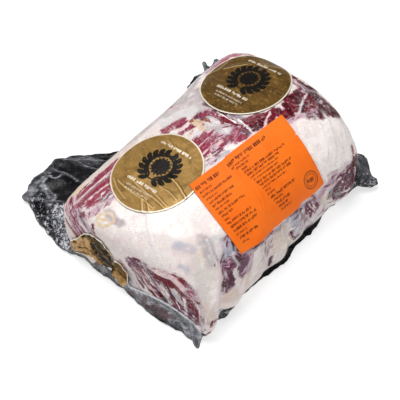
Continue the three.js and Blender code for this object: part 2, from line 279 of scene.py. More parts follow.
LATTICE = (188, 112, 84)
directions, quads = box_lattice(*LATTICE)
base = surface(directions)
normal = outward(base, quads)
print("lattice:", len(base), "points; loaf size", np.ptp(base, axis=0).round(1))

# %% [markdown]
# ## Where fat and lean show
# Through the film the pack shows a broad field of white fat on top, a streaky lean band behind
# its rim, dark red blocks beside the back label, a dark red cut face on the left end, and grey
# and purple patches on the front side. Each patch is a stroke of a round brush along a path on
# the loaf, wobbled by noise so that no edge is straight. A stroke lays down a tone, how much
# streaky marbling the tone carries, and coordinates along and across its fibres.

# %% Tones and strokes
FAT = {
    "bone": linear(226, 216, 211),
    "white": linear(240, 231, 226),
    "pearl": linear(248, 241, 236),
    "cream": linear(230, 212, 194),
    "straw": linear(214, 188, 152),
    "grey": linear(206, 203, 202),
    "mist": linear(168, 172, 186),
    "smoke": linear(136, 132, 140),
    "tan": linear(210, 194, 180),
    "stone": linear(206, 198, 192),
    "shade": linear(176, 168, 168),
    "lilac": linear(190, 160, 176),
    "blush": linear(222, 184, 182),
}
LEAN = {
    "pink": linear(170, 84, 106),
    "rose": linear(144, 48, 72),
    "red": linear(112, 20, 38),
    "wine": linear(74, 4, 20),
    "plum": linear(96, 48, 72),
    "brown": linear(146, 84, 52),
    "dusk": linear(84, 54, 66),
}
STROKES = [  # place, tone, half width, share of lean that shows, path over the loaf
    # The back rim strokes lay the rim's own beige edge and, with the top behind and by far label strokes,
    # painted shade where the top turns away along the back silhouette.
    ("back rim", "tan", 7, 0, [(-127, 97, 70), (-88, 88, 88), (-40, 92, 90)]),
    ("back rim corner", "straw", 5, 0, [(-128, 95, 70), (-116, 91, 82)]),
    ("back rim low", "tan", 6, 0.02, [(-72, 84, 92), (-56, 84, 93), (-36, 86, 94), (-15, 88, 93)]),
    ("top behind", "shade", 16, 0.06, [(16, 73, 107), (32, 58, 114), (30, 42, 118)]),
    ("top behind mist", "mist", 4, 0.15, [(42, 64, 113), (33, 49, 117), (38, 41, 119)]),
    ("back rim shade", "shade", 9, 0.02, [
        (-52, 94, 83), (-32, 90, 90), (-6, 88, 94), (16, 84, 98), (36, 82, 102)
    ]),
    ("back rim shade two", "shade", 4, 0.05, [(31, 84, 100), (51, 83, 102), (70, 89, 99)]),
    ("back rim spots", "rose", 1.6, 0.6, [(16, 89, 93), (21, 83, 100)]),
    ("rim line", "shade", 1, 0.05, [(12, 84, 99), (17, 70, 108), (23, 56, 114)]),
    ("by far label", "shade", 7, 0.1, [(52, 70, 111), (39, 57, 115), (35, 45, 118)]),
    ("by far label spots", "dusk", 2.4, 0.7, [(37, 50, 117), (38, 43, 119)]),
    ("behind far label", "lilac", 6, 0.3, [(97, 92, 97), (114, 91, 97), (128, 83, 100)]),
    ("field shade", "bone", 18, 0.05, [(-128, -22, 94), (-121, -49, 91), (-117, -65, 85)]),
    ("field mottle", "mist", 5, 0.04, [(-109, -43, 100), (-104, -54, 98), (-98, -65, 95)]),
    ("field mottle low", "mist", 4, 0.04, [(-120, -55, 89), (-117, -65, 85), (-109, -72, 86)]),
    ("field bright", "pearl", 26, 0, [(-108, 30, 103), (-84, -24, 108), (-60, -40, 108)]),
    ("field by wing", "shade", 5, 0.1, [(-122, 41, 94), (-124, 31, 95), (-125, 20, 96)]),
    ("front lean", "dusk", 42, 0.05, [(-95, -92, 63), (-42, -97, 62), (20, -98, 54)]),
    ("front sheet", "stone", 26, 0.06, [
        (-97, -80, 84), (-74, -87, 76), (-40, -94, 74), (6, -94, 66), (51, -96, 61)
    ]),
    ("front low", "stone", 22, 0.04, [
        (-115, -96, 63), (-79, -99, 50), (-35, -97, 35), (18, -90, 6), (71, -94, 23)
    ]),
    ("oval", "pearl", 20, 0.02, [(84, -59, 120), (84, -71, 110), (85, -82, 98), (83, -91, 83)]),
    # The oval shade and oval rim strokes are painted light: they keep the right end of the oval pale where it
    # turns from the key light.
    ("oval shade", "pearl", 8, 0.02, [(110, -61, 115), (112, -74, 104), (108, -86, 90), (104, -93, 78)]),
    ("oval rim", "white", 5, 0.03, [(129, -66, 99), (123, -82, 90), (121, -91, 75), (121, -95, 65)]),
    ("oval rim line", "brown", 1.6, 0.85, [(118, -88, 82), (117, -93, 74), (115, -97, 65)]),
    ("oval low", "grey", 6, 0.15, [(74, -94, 75), (89, -96, 72), (102, -97, 72)]),
    # lean band inside the back rim
    ("band", "rose", 8, 0.98, [(-128, 76, 85), (-115, 74, 89), (-100, 71, 94), (-86, 69, 97)]),
    ("band upper", "rose", 6.5, 0.97, [(-120, 81, 86), (-106, 80, 89), (-91, 78, 92), (-74, 77, 96)]),
    ("band lower", "rose", 7, 0.85, [(-126, 67, 88), (-112, 61, 93), (-97, 58, 98)]),
    ("band low", "plum", 3, 0.6, [(-127, 57, 90), (-114, 54, 94), (-103, 51, 98)]),
    ("band veil", "lilac", 4, 0.3, [(-133, 57, 87), (-120, 51, 93), (-107, 47, 97)]),
    ("band line", "blush", 1.2, 0.15, [(-130, 80, 82), (-114, 78, 88), (-96, 76, 93), (-81, 75, 96)]),
    ("band line two", "blush", 1.2, 0.15, [(-127, 71, 86), (-111, 68, 92), (-92, 63, 98)]),
    # mottled left corner
    ("corner", "lilac", 10, 0.45, [(-135, 88, 75), (-141, 77, 73), (-142, 70, 63), (-142, 63, 56)]),
    ("corner blue", "mist", 4, 0.35, [(-136, 71, 81), (-140, 59, 78), (-141, 47, 73)]),
    ("corner top", "blush", 3.5, 0.3, [(-134, 94, 69), (-131, 89, 77)]),
    ("corner dark", "rose", 2.6, 0.8, [(-139, 80, 75), (-141, 73, 72)]),
    ("corner dark two", "plum", 2.4, 0.75, [(-139, 67, 79), (-141, 59, 76)]),
    ("corner strip", "brown", 2.6, 0.75, [(-141, 87, 57), (-143, 79, 51), (-143, 71, 45)]),
    ("spot one", "red", 2.2, 0.95, [(-135, 65, 83), (-137, 63, 82)]),
    ("spot one ring", "blush", 2, 0.3, [(-135, 59, 84), (-139, 57, 81)]),
    ("spot two", "red", 2, 0.85, [(-139, 48, 82), (-140, 47, 79)]),
    ("ring mark", "straw", 1.5, 0, [
        (-124, 31, 95), (-127, 28, 94), (-132, 30, 91), (-135, 35, 88), (-136, 41, 87),
        (-135, 45, 87), (-131, 47, 89), (-127, 45, 91), (-123, 41, 94), (-122, 35, 95),
        (-124, 31, 95)
    ]),
    ("ring mark middle", "straw", 1.4, 0, [(-131, 42, 90), (-131, 38, 91), (-128, 37, 92)]),
    # stripes between the two gold labels
    ("middle ground", "lilac", 15, 0.45, [(-16, 16, 118), (-5, 12, 120), (5, 7, 122), (16, 0, 124)]),
    ("middle ground upper", "grey", 8, 0.05, [(-3, 70, 106), (9, 64, 110), (20, 56, 114)]),
    ("top stripe", "rose", 5, 0.9, [(-14, 61, 108), (-4, 57, 110), (6, 54, 113)]),
    ("top stripe two", "rose", 4, 0.93, [(-9, 43, 114), (-2, 41, 115), (5, 40, 116)]),
    ("top stripe light", "blush", 1.2, 0.1, [(-8, 48, 113), (1, 48, 114), (10, 47, 115)]),
    ("tan stripe", "straw", 2, 0.3, [(-11, 59, 109), (-5, 57, 110)]),
    ("salmon patch", "straw", 2.6, 0.2, [(-7, 35, 116), (0, 35, 117)]),
    ("middle lean", "rose", 8, 0.85, [(-14, 18, 118), (-4, 17, 119), (4, 17, 120)]),
    ("middle lean two", "rose", 8, 0.8, [(-16, 7, 119), (-3, 7, 121), (6, 4, 122)]),
    ("middle lean three", "rose", 7, 0.88, [(-5, -2, 122), (4, -4, 123), (13, -4, 124)]),
    ("middle lean low", "plum", 5, 0.55, [(-23, -1, 119), (-15, -4, 120), (-8, -5, 121)]),
    ("second line", "grey", 2.2, 0.05, [(-13, 29, 116), (-2, 30, 118), (6, 26, 119)]),
    ("middle line one", "blush", 1.4, 0.2, [(-21, 15, 117), (-9, 15, 119), (3, 16, 120)]),
    ("middle line two", "blush", 1.3, 0.2, [(-23, 6, 118), (-9, 7, 120), (1, 6, 121)]),
    ("middle line three", "blush", 1.5, 0.2, [(-25, -2, 119), (-11, 0, 120), (0, 0, 122), (10, 0, 123)]),
    ("middle line four", "lilac", 2, 0.3, [(-7, 2, 121), (0, 5, 121), (9, 5, 123)]),
    ("blue gap", "mist", 3, 0.15, [(-27, -7, 119), (-18, -11, 121), (-9, -12, 122), (-1, -14, 124)]),
    ("white by corner two", "white", 4, 0.03, [(3, -11, 124), (10, -16, 125)]),
    ("tan patch", "brown", 5, 0.8, [(13, 43, 116), (18, 38, 117), (17, 31, 119)]),
    ("tan patch line", "straw", 1.2, 0.1, [(14, 45, 116), (15, 36, 118), (15, 29, 119)]),
    ("tan patch low", "straw", 2.4, 0.15, [(10, 42, 116), (8, 32, 118), (9, 24, 120)]),
    ("dark middle", "plum", 5, 0.85, [
        (20, 42, 117), (27, 38, 118), (31, 32, 120), (37, 26, 121), (38, 19, 123)
    ]),
    ("dark middle spots", "wine", 3, 0.9, [(28, 38, 119), (27, 31, 120), (37, 29, 121), (38, 19, 123)]),
    ("dark middle low", "red", 5, 0.97, [(28, 26, 121), (29, 18, 122), (29, 10, 124), (31, 3, 125)]),
    ("dark middle line", "pearl", 0.8, 0.05, [(34, 30, 121), (33, 17, 123), (33, 4, 125)]),
    ("middle grey", "smoke", 4, 0.15, [(39, 14, 124), (40, 7, 125), (39, -1, 126)]),
    ("white blob", "grey", 6, 0.12, [(17, 24, 120), (17, 13, 122), (20, 4, 124)]),
    ("white blob bright", "bone", 2.4, 0.02, [(19, 13, 122), (20, 6, 124)]),
    ("middle plum", "rose", 4.5, 0.85, [(24, 41, 118), (28, 37, 119), (28, 26, 121)]),
    ("middle shade", "shade", 4, 0.2, [(10, 18, 121), (18, 13, 122), (27, 9, 124)]),
    ("by near label", "plum", 4, 0.5, [(-18, 32, 115), (-22, 23, 116), (-27, 14, 116)]),
    ("pink by strip", "pink", 4, 0.6, [(22, -1, 125), (21, -11, 126), (13, -13, 125)]),
    # dark strip above the orange label; strip line is a painted highlight along a film wrinkle
    ("strip left", "rose", 7, 0.9, [(22, -13, 126), (31, -12, 127), (38, -12, 128)]),
    ("strip left shade", "plum", 3, 0.8, [(28, -10, 126), (30, -17, 127)]),
    ("strip middle", "red", 9, 0.98, [(43, -10, 127), (50, -13, 128), (54, -16, 129)]),
    ("strip middle low", "wine", 5, 0.97, [(39, -18, 128), (47, -20, 128), (54, -20, 129)]),
    ("strip right", "red", 6.5, 0.97, [(61, -19, 129), (69, -20, 129), (70, -25, 129)]),
    ("strip right shade", "wine", 3, 0.95, [(74, -20, 129), (70, -28, 129)]),
    ("strip gap", "blush", 1.2, 0.25, [(45, -24, 128), (55, -19, 129), (65, -16, 129)]),
    ("strip line", "pearl", 0.8, 0.03, [(38, 5, 125), (35, -8, 127), (32, -20, 128)]),
    ("corner gap", "grey", 1.6, 0.2, [(81, -20, 129), (74, -26, 129), (69, -32, 128)]),
    # dark blocks beside the back label; block gap is a painted highlight along a film wrinkle
    ("block left", "red", 8.5, 0.98, [(95, -20, 129), (93, -29, 128), (82, -30, 129), (75, -31, 128)]),
    ("block left shade", "wine", 4, 0.97, [(83, -22, 129), (79, -31, 129), (77, -38, 127)]),
    ("block left top", "plum", 4, 0.5, [(106, -19, 128), (114, -21, 126), (120, -20, 124)]),
    ("block right", "wine", 13, 0.985, [(104, -27, 128), (110, -35, 126), (110, -45, 123), (98, -41, 126)]),
    ("block right light", "red", 6, 0.98, [(108, -32, 126), (104, -42, 125), (97, -44, 125)]),
    ("block edge", "wine", 7, 0.97, [(121, -24, 124), (121, -36, 122), (120, -49, 117), (122, -59, 111)]),
    ("block foot", "lilac", 4, 0.35, [(68, -37, 127), (80, -40, 127), (90, -45, 125), (99, -48, 124)]),
    ("block foot line", "dusk", 1.2, 0.6, [(92, -45, 125), (99, -49, 123)]),
    ("block gap", "blush", 1, 0.15, [(115, -27, 126), (99, -32, 128), (86, -38, 127), (76, -39, 127)]),
    ("block speck", "pearl", 0.9, 0.3, [(117, -42, 122), (118, -44, 120)]),
    ("back corner", "lilac", 4, 0.4, [(120, 0, 123), (117, -11, 125), (115, -20, 126)]),
    ("back corner spots", "wine", 4, 0.95, [(126, 8, 120), (125, 1, 121)]),
    ("back corner brown", "wine", 3.4, 0.9, [(123, -10, 123), (120, -22, 125), (119, -29, 124)]),
    ("behind label", "pink", 6, 0.6, [(100, 86, 103), (116, 84, 103), (126, 66, 109), (130, 44, 112)]),
    ("behind label left", "lilac", 5, 0.4, [(84, 87, 101), (98, 85, 104)]),
    # cut face on the left end; its thin blush and pearl line strokes are painted reflections of the film
    ("cut base", "plum", 18, 0.62, [
        (-137, -15, 60), (-134, -26, 49), (-133, -39, 46), (-132, -54, 47), (-131, -69, 46),
        (-129, -82, 43)
    ]),
    ("cut left grey", "smoke", 8, 0.2, [(-138, -2, 25), (-138, -10, 21), (-137, -18, 21)]),
    ("cut top", "red", 4, 0.85, [(-137, -11, 58), (-137, -20, 68), (-136, -26, 69)]),
    ("cut top two", "plum", 7, 0.8, [(-136, -22, 67), (-136, -29, 62), (-133, -35, 51)]),
    ("cut top light", "blush", 2, 0.25, [(-137, -18, 63), (-134, -23, 51), (-134, -31, 43)]),
    ("cut top light two", "blush", 1.6, 0.2, [(-136, -28, 63), (-134, -33, 55), (-133, -39, 46)]),
    ("cut top dark", "dusk", 2.2, 0.9, [(-136, -24, 65), (-134, -29, 52), (-133, -35, 43)]),
    ("cut left", "wine", 3.6, 0.92, [(-136, -7, 49), (-135, -15, 38), (-136, -25, 33), (-136, -36, 29)]),
    ("cut left light", "bone", 4.5, 0.06, [
        (-137, 1, 48), (-136, -6, 35), (-137, -15, 30), (-137, -22, 27)
    ]),
    ("cut left edge", "plum", 2, 0.7, [(-136, -3, 47), (-136, -10, 36), (-137, -18, 30)]),
    ("cut left line", "blush", 1.7, 0.08, [
        (-137, -5, 54), (-135, -12, 44), (-135, -22, 37), (-135, -30, 35), (-135, -37, 30)
    ]),
    ("cut middle", "plum", 6, 0.7, [(-133, -35, 51), (-133, -41, 45), (-134, -47, 39)]),
    ("cut middle light", "blush", 2, 0.15, [(-133, -36, 47), (-133, -43, 43), (-133, -48, 40)]),
    ("cut middle dark", "wine", 3, 0.9, [(-134, -39, 37), (-135, -44, 33), (-134, -49, 34)]),
    ("cut upper", "red", 11, 0.99, [(-135, -41, 68), (-133, -49, 71), (-132, -59, 70), (-131, -67, 68)]),
    ("cut upper two", "red", 9, 0.99, [(-130, -64, 70), (-130, -71, 64), (-129, -78, 61), (-127, -86, 53)]),
    ("cut right", "red", 11, 0.98, [(-130, -76, 55), (-128, -83, 48), (-128, -88, 41)]),
    ("cut right edge", "red", 5, 0.95, [(-126, -88, 54), (-127, -88, 45), (-129, -89, 36)]),
    ("cut upper line", "blush", 1.8, 0.08, [
        (-136, -26, 74), (-135, -37, 73), (-133, -47, 75), (-131, -54, 76), (-131, -62, 72)
    ]),
    ("cut pink line", "pearl", 2, 0.06, [
        (-134, -35, 53), (-133, -44, 48), (-133, -51, 42), (-134, -53, 31)
    ]),
    ("cut dark line", "wine", 3, 0.92, [(-134, -49, 61), (-132, -53, 48), (-133, -56, 39)]),
    ("cut red spot", "red", 4, 0.9, [(-134, -54, 37), (-134, -58, 32)]),
    ("cut white", "grey", 4.5, 0.1, [(-133, -56, 61), (-132, -61, 52)]),
    ("cut white low", "shade", 5, 0.2, [(-132, -62, 51), (-131, -66, 45)]),
    ("cut white shade", "mist", 4, 0.08, [(-133, -57, 54), (-132, -64, 47)]),
    ("cut grey spots", "plum", 5, 0.7, [(-133, -64, 38), (-133, -68, 33)]),
    ("cut right line", "pearl", 1.8, 0.08, [(-131, -70, 57), (-131, -71, 40), (-130, -77, 38)]),
    ("cut right mottle", "plum", 6, 0.7, [(-132, -72, 37), (-131, -79, 35)]),
    ("cut right line two", "blush", 1.4, 0.2, [(-129, -74, 64), (-128, -83, 54), (-128, -88, 41)]),
    ("cut brim", "blush", 3, 0.2, [(-134, -38, 77), (-132, -49, 78), (-130, -58, 76), (-129, -67, 70)]),
    ("cut end veil", "lilac", 3, 0.3, [(-127, -73, 69), (-125, -81, 65), (-123, -89, 60)]),
    ("cut end dots", "rose", 2, 0.6, [(-127, -74, 68), (-127, -76, 67)]),
    ("cut edge line", "blush", 1.6, 0.1, [(-121, -88, 63), (-126, -90, 51), (-129, -89, 35)]),
    ("veil by label", "lilac", 4, 0.25, [(-139, 10, 53), (-138, 6, 44), (-137, 1, 34)]),
    ("veil by label low", "grey", 5, 0.1, [(-137, 4, 41), (-137, -3, 33), (-138, -6, 25)]),
    # front side; front wrinkle is a painted highlight along a film wrinkle, and front lines, long crease,
    # the second crease strokes, crease shade, label shadow and roll tip are painted shade
    ("front upper", "grey", 9, 0.04, [(-85, -67, 97), (-87, -76, 90)]),
    ("front wrinkle", "pearl", 1.6, 0.02, [(-87, -61, 100), (-91, -67, 96), (-93, -75, 89)]),
    ("front lines", "dusk", 1.1, 0.5, [(-86, -67, 97), (-89, -73, 92), (-90, -79, 86)]),
    ("long crease", "dusk", 1.6, 0.8, [(-95, -69, 93), (-94, -74, 90), (-95, -79, 86)]),
    ("pink by crease", "cream", 6, 0.03, [(-97, -65, 95), (-100, -72, 90)]),
    ("upper mix", "mist", 8, 0.25, [(-71, -75, 93), (-77, -80, 86), (-81, -80, 77)]),
    ("upper streak", "plum", 2.2, 0.5, [(-71, -74, 95), (-80, -78, 88), (-87, -79, 82)]),
    ("upper streak two", "dusk", 2.4, 0.8, [(-66, -78, 92), (-68, -83, 85)]),
    ("upper white", "pearl", 2.4, 0.02, [(-76, -82, 80), (-70, -84, 83)]),
    ("upper grey", "shade", 6, 0.02, [(-89, -57, 102), (-91, -66, 96), (-97, -74, 89)]),
    ("patch ground", "lilac", 13, 0.4, [(-93, -91, 65), (-81, -89, 71), (-68, -92, 73)]),
    ("patch dark", "dusk", 6, 0.8, [(-99, -92, 71), (-93, -94, 60), (-86, -94, 64), (-85, -89, 70)]),
    ("patch dark two", "dusk", 4.5, 0.8, [(-70, -87, 79), (-67, -92, 73), (-73, -94, 68)]),
    ("patch top", "plum", 2.6, 0.6, [(-86, -83, 76), (-80, -86, 73), (-75, -88, 74)]),
    ("patch right", "plum", 4, 0.6, [(-58, -93, 74), (-64, -96, 68), (-73, -97, 62)]),
    ("patch foot", "dusk", 3.5, 0.55, [(-96, -93, 59), (-96, -93, 46)]),
    ("patch white", "grey", 3, 0.15, [(-77, -91, 71), (-81, -94, 65), (-81, -98, 54)]),
    ("pink line", "blush", 1.8, 0.1, [(-56, -97, 68), (-65, -100, 57), (-71, -101, 39)]),
    ("pink line edge", "rose", 1, 0.5, [(-64, -101, 52), (-67, -100, 38)]),
    ("second roll", "bone", 6, 0.02, [(-48, -95, 73), (-52, -99, 59), (-59, -99, 45)]),
    ("second crease", "dusk", 2.2, 0.8, [(-19, -96, 51), (-22, -95, 35), (-23, -93, 15)]),
    ("second crease two", "plum", 1.6, 0.6, [(-32, -93, 69), (-35, -96, 58), (-42, -97, 49)]),
    ("crease shade", "grey", 6, 0.35, [(-24, -93, 58), (-30, -95, 51)]),
    ("third roll", "tan", 7, 0.02, [(1, -93, 63), (-13, -97, 61), (-18, -97, 40)]),
    ("third roll light", "bone", 3, 0.02, [(4, -93, 70), (-5, -94, 64)]),
    ("third roll pink", "cream", 4, 0.04, [(8, -94, 35), (-10, -100, 41)]),
    ("crease spots", "wine", 3, 0.85, [(9, -96, 46), (18, -95, 23)]),
    ("crease spots low", "dusk", 3, 0.85, [(20, -96, 26), (23, -97, 32)]),
    ("blue fold", "mist", 8, 0.2, [(9, -94, 70), (17, -97, 58), (22, -97, 37)]),
    ("blue spots", "smoke", 3.4, 0.35, [(22, -97, 57), (17, -98, 50)]),
    ("label shadow", "smoke", 2.4, 0.4, [(-56, -91, 77), (-39, -93, 77), (-19, -92, 71), (-6, -92, 69)]),
    ("label shadow two", "mist", 3, 0.3, [(0, -91, 68), (16, -94, 71), (34, -93, 66)]),
    ("right spots", "wine", 3.4, 0.85, [(38, -94, 67), (42, -95, 70)]),
    ("right spots low", "dusk", 5, 0.88, [(38, -95, 51), (43, -97, 51), (46, -96, 35)]),
    ("right lilac", "plum", 5, 0.45, [(43, -94, 71), (51, -97, 52), (50, -97, 37)]),
    ("under corner", "plum", 6, 0.6, [(38, -95, 62), (46, -97, 45), (44, -95, 30)]),
    ("under corner blue", "smoke", 4, 0.3, [(21, -95, 65), (33, -95, 43), (49, -91, 11)]),
    ("right roll", "tan", 6, 0.03, [(65, -94, 50), (68, -95, 35), (58, -97, 34)]),
    ("right roll top", "lilac", 4, 0.25, [(67, -95, 66), (62, -94, 58), (52, -96, 62)]),
    ("left roll", "stone", 11, 0.02, [(-123, -100, 43), (-120, -95, 59), (-113, -90, 69), (-106, -86, 77)]),
    ("left roll light", "bone", 4, 0.02, [(-107, -90, 73), (-115, -96, 63), (-120, -99, 54)]),
    ("left roll warm", "tan", 5, 0.03, [(-126, -98, 37), (-123, -93, 55)]),
    ("roll tip", "dusk", 5, 0.5, [(-129, -97, 14), (-126, -100, 23), (-124, -101, 34)]),
    ("white roll", "tan", 8, 0.02, [(-97, -93, 42), (-90, -97, 41), (-79, -99, 44), (-70, -101, 49)]),
    ("white roll light", "bone", 4, 0.02, [(-81, -97, 57), (-76, -100, 39)]),
    ("right corner base", "dusk", 15, 0.93, [(86, -99, 46), (95, -101, 49), (102, -102, 55)]),
    ("right corner mottle", "plum", 4.5, 0.85, [(90, -100, 54), (101, -102, 40)]),
    ("right corner edge", "wine", 6, 0.96, [(109, -99, 62), (112, -101, 47), (112, -101, 33)]),
    ("right corner outer", "wine", 8, 0.9, [
        (119, -97, 64), (123, -97, 50), (122, -98, 34), (113, -100, 24)
    ]),
    ("right corner top", "plum", 4, 0.7, [(81, -98, 64), (90, -98, 67), (102, -99, 67)]),
    ("right corner low", "wine", 4, 0.85, [(91, -100, 39), (102, -101, 35)]),
    ("right corner inner", "dusk", 6, 0.9, [(78, -98, 52), (83, -98, 34)]),
    ("right corner foot", "dusk", 5, 0.92, [(90, -98, 27), (102, -100, 23), (116, -100, 22)]),
    ("right corner streak", "blush", 0.9, 0.1, [
        (100, -94, 77), (96, -99, 67), (91, -100, 57), (87, -99, 44)
    ]),
    ("right corner streak two", "blush", 0.8, 0.15, [(103, -100, 65), (97, -101, 55), (96, -101, 37)]),
    ("right corner streak three", "lilac", 2, 0.3, [(84, -97, 67), (78, -98, 60)]),
    ("right corner veil", "lilac", 4, 0.3, [(72, -96, 68), (78, -95, 72), (86, -95, 73)]),
    ("right grey", "grey", 9, 0.15, [(40, -95, 22), (56, -97, 34), (76, -97, 24)]),
]
EDGE = 5.0  # a stroke fades out over this distance
FIBRED = 0.3  # strokes with more lean than this have fibres of their own
WOBBLE = [(13, 3.0, 3), (5, 1.6, 4)]  # size, reach and seed of the noise at stroke edges


def painted(points, normal):
    """Fat tone, lean tone, share of lean and fibre coordinates after each stroke is laid over the last."""
    fat = np.tile(FAT["bone"], (len(points), 1))
    lean = np.tile(LEAN["red"], (len(points), 1))
    share = np.zeros(len(points))
    fibre = np.stack([points[:, 0], points[:, 1] - points[:, 2], np.zeros(len(points))], -1)
    wobble = sum(reach * noise(points, size, seed) for size, reach, seed in WOBBLE)
    for number, (_, tone, half, amount, path) in enumerate(STROKES):
        gap, along, way = near_path(points, path)
        cover = smooth((half - gap - wobble * min(1, half / 5)) / min(EDGE, half) + 0.5)
        tones, target = (lean, LEAN[tone]) if tone in LEAN else (fat, FAT[tone])
        tones += cover[:, None] * (target - tones)
        share += cover * (amount - share)
        if tone in LEAN or amount > FIBRED:
            across = ((points - np.asarray(path[0], float)) * np.cross(normal, way)).sum(-1)
            inside = cover > 0.15
            fibre[inside] = np.stack([along, across, np.full(len(along), 10.0 * number)], -1)[inside]
    return fat, lean, share, fibre


fat_tone, lean_tone, share, fibre = painted(base, normal)
print("strokes:", len(STROKES), "mean share of lean", share.mean().round(3))

# %% [markdown]
# ## The meat
# Fat stands a little proud of the lean, because lean shrinks more as it ages, and both are
# uneven under the film. The points of the loaf move along their outward direction by a slow
# swell, by a small dip where lean shows, and by fine fibres that run with each stroke.

# %% The meat piece
MEAT_LIFT = 0.9  # the meat's underside lies on the black sheet
LEAN_DIP = 0.9
SWELL = [(24, 0.8, 21), (9, 0.35, 22)]
FIBRE_SIZE = (16, 1.9, 40)
FIBRE_DEPTH = 0.28


def meat_points():
    """base + normal * (swell - dip * share + fibre noise), held above the black sheet."""
    lift = sum(high * noise(base, size, seed) for size, high, seed in SWELL)
    lift = lift - LEAN_DIP * share
    lift = lift + FIBRE_DEPTH * share * noise(fibre, FIBRE_SIZE, 31, 2)
    points = base + normal * lift[:, None]
    points[:, 2] = np.maximum(points[:, 2], MEAT_LIFT)
    return points


tissue = {"fat_tone": fat_tone, "lean_tone": lean_tone, "share": share, "fibre": fibre}
meat = make_mesh("meat", meat_points(), [quads], tissue)

# %% [markdown]
# ## Shader shorthand
# Each material is a small node tree. These helpers add a node, link sockets and set numbers in
# one line, so that a finish reads as the list of what it is made of.

# %% Node helpers
class Finish:
    """A material under construction: nodes are added by type and fed by sockets or plain values."""

    def __init__(self, name):
        self.material = bpy.data.materials.new(name)
        self.material.use_nodes = True
        self.tree = self.material.node_tree
        self.shader = self.tree.nodes["Principled BSDF"]
        self.output = self.tree.nodes["Material Output"]

    def feed(self, socket, value):
        if isinstance(value, bpy.types.NodeSocket):
            self.tree.links.new(value, socket)
        elif hasattr(value, "__len__") and len(value) == 3 and socket.type == "RGBA":
            socket.default_value = (*value, 1)
        else:
            socket.default_value = value

    def node(self, kind, out=0, settings=None, **inputs):
        node = self.tree.nodes.new("ShaderNode" + kind)
        for key, value in (settings or {}).items():
            setattr(node, key, value)
        for key, value in inputs.items():
            name = key.replace("_", " ")
            socket = node.inputs[int(key[1:])] if key[1:].isdigit() else node.inputs[name]
            self.feed(socket, value)
        return node.outputs[out]

    def attribute(self, name, out="Fac"):
        return self.node("Attribute", out, {"attribute_name": name})

    def place(self, scale=(1, 1, 1)):
        """Object coordinates, in units of scale per metre."""
        spot = self.node("TexCoord", "Object")
        return self.node("Mapping", 0, None, Vector=spot, Scale=scale)

    def grain(self, at, scale=1.0, detail=3.0, rough=0.55, bend=0.0):
        shape = {"Scale": scale, "Detail": detail, "Roughness": rough, "Distortion": bend}
        return self.node("TexNoise", 0, None, Vector=at, **shape)

    def math(self, kind, a, b=0.5, c=0.5):
        return self.node("Math", 0, {"operation": kind}, i0=a, i1=b, i2=c)

    def ramp(self, value, low, high, to_low=0.0, to_high=1.0):
        """value from low..high to to_low..to_high with soft ends."""
        node = self.tree.nodes.new("ShaderNodeMapRange")
        node.interpolation_type = "SMOOTHSTEP"
        for socket, x in zip(node.inputs[:5], (value, low, high, to_low, to_high)):
            self.feed(socket, x)
        return node.outputs[0]

    def mix(self, amount, a, b, kind="MIX"):
        node = self.tree.nodes.new("ShaderNodeMix")
        node.data_type = "RGBA"
        node.blend_type = kind
        self.feed(node.inputs[0], amount)
        self.feed(node.inputs[6], a)
        self.feed(node.inputs[7], b)
        return node.outputs[2]

    def bump(self, height, strength=0.3, distance=0.001, normal=None):
        node = self.tree.nodes.new("ShaderNodeBump")
        node.inputs["Strength"].default_value = strength
        node.inputs["Distance"].default_value = distance
        self.feed(node.inputs["Height"], height)
        if normal is not None:
            self.feed(node.inputs["Normal"], normal)
        return node.outputs[0]

    def principled(self, **inputs):
        for key, value in inputs.items():
            self.feed(self.shader.inputs[key.replace("_", " ")], value)
        return self

    def see_through(self, cover):
        """Shows only the share cover of the shader; the rest of the light passes straight on."""
        clear = self.node("BsdfTransparent")
        both = self.tree.nodes.new("ShaderNodeMixShader")
        self.feed(both.inputs[0], cover)
        self.feed(both.inputs[1], clear)
        self.feed(both.inputs[2], self.shader.outputs[0])
        self.tree.links.new(both.outputs[0], self.output.inputs[0])
        return self


# %% [markdown]
# ## Finish of the meat
# Beef fat is never one white: it is pinker, greyer and creamier by turns, with faint veins. Lean
# is a bundle of fibres, dark red with thin white threads of marbling. The tone comes from the
# strokes. Noise stretched along the fibre coordinates adds the threads. The meat itself is dull,
# because the film over it does the shining.

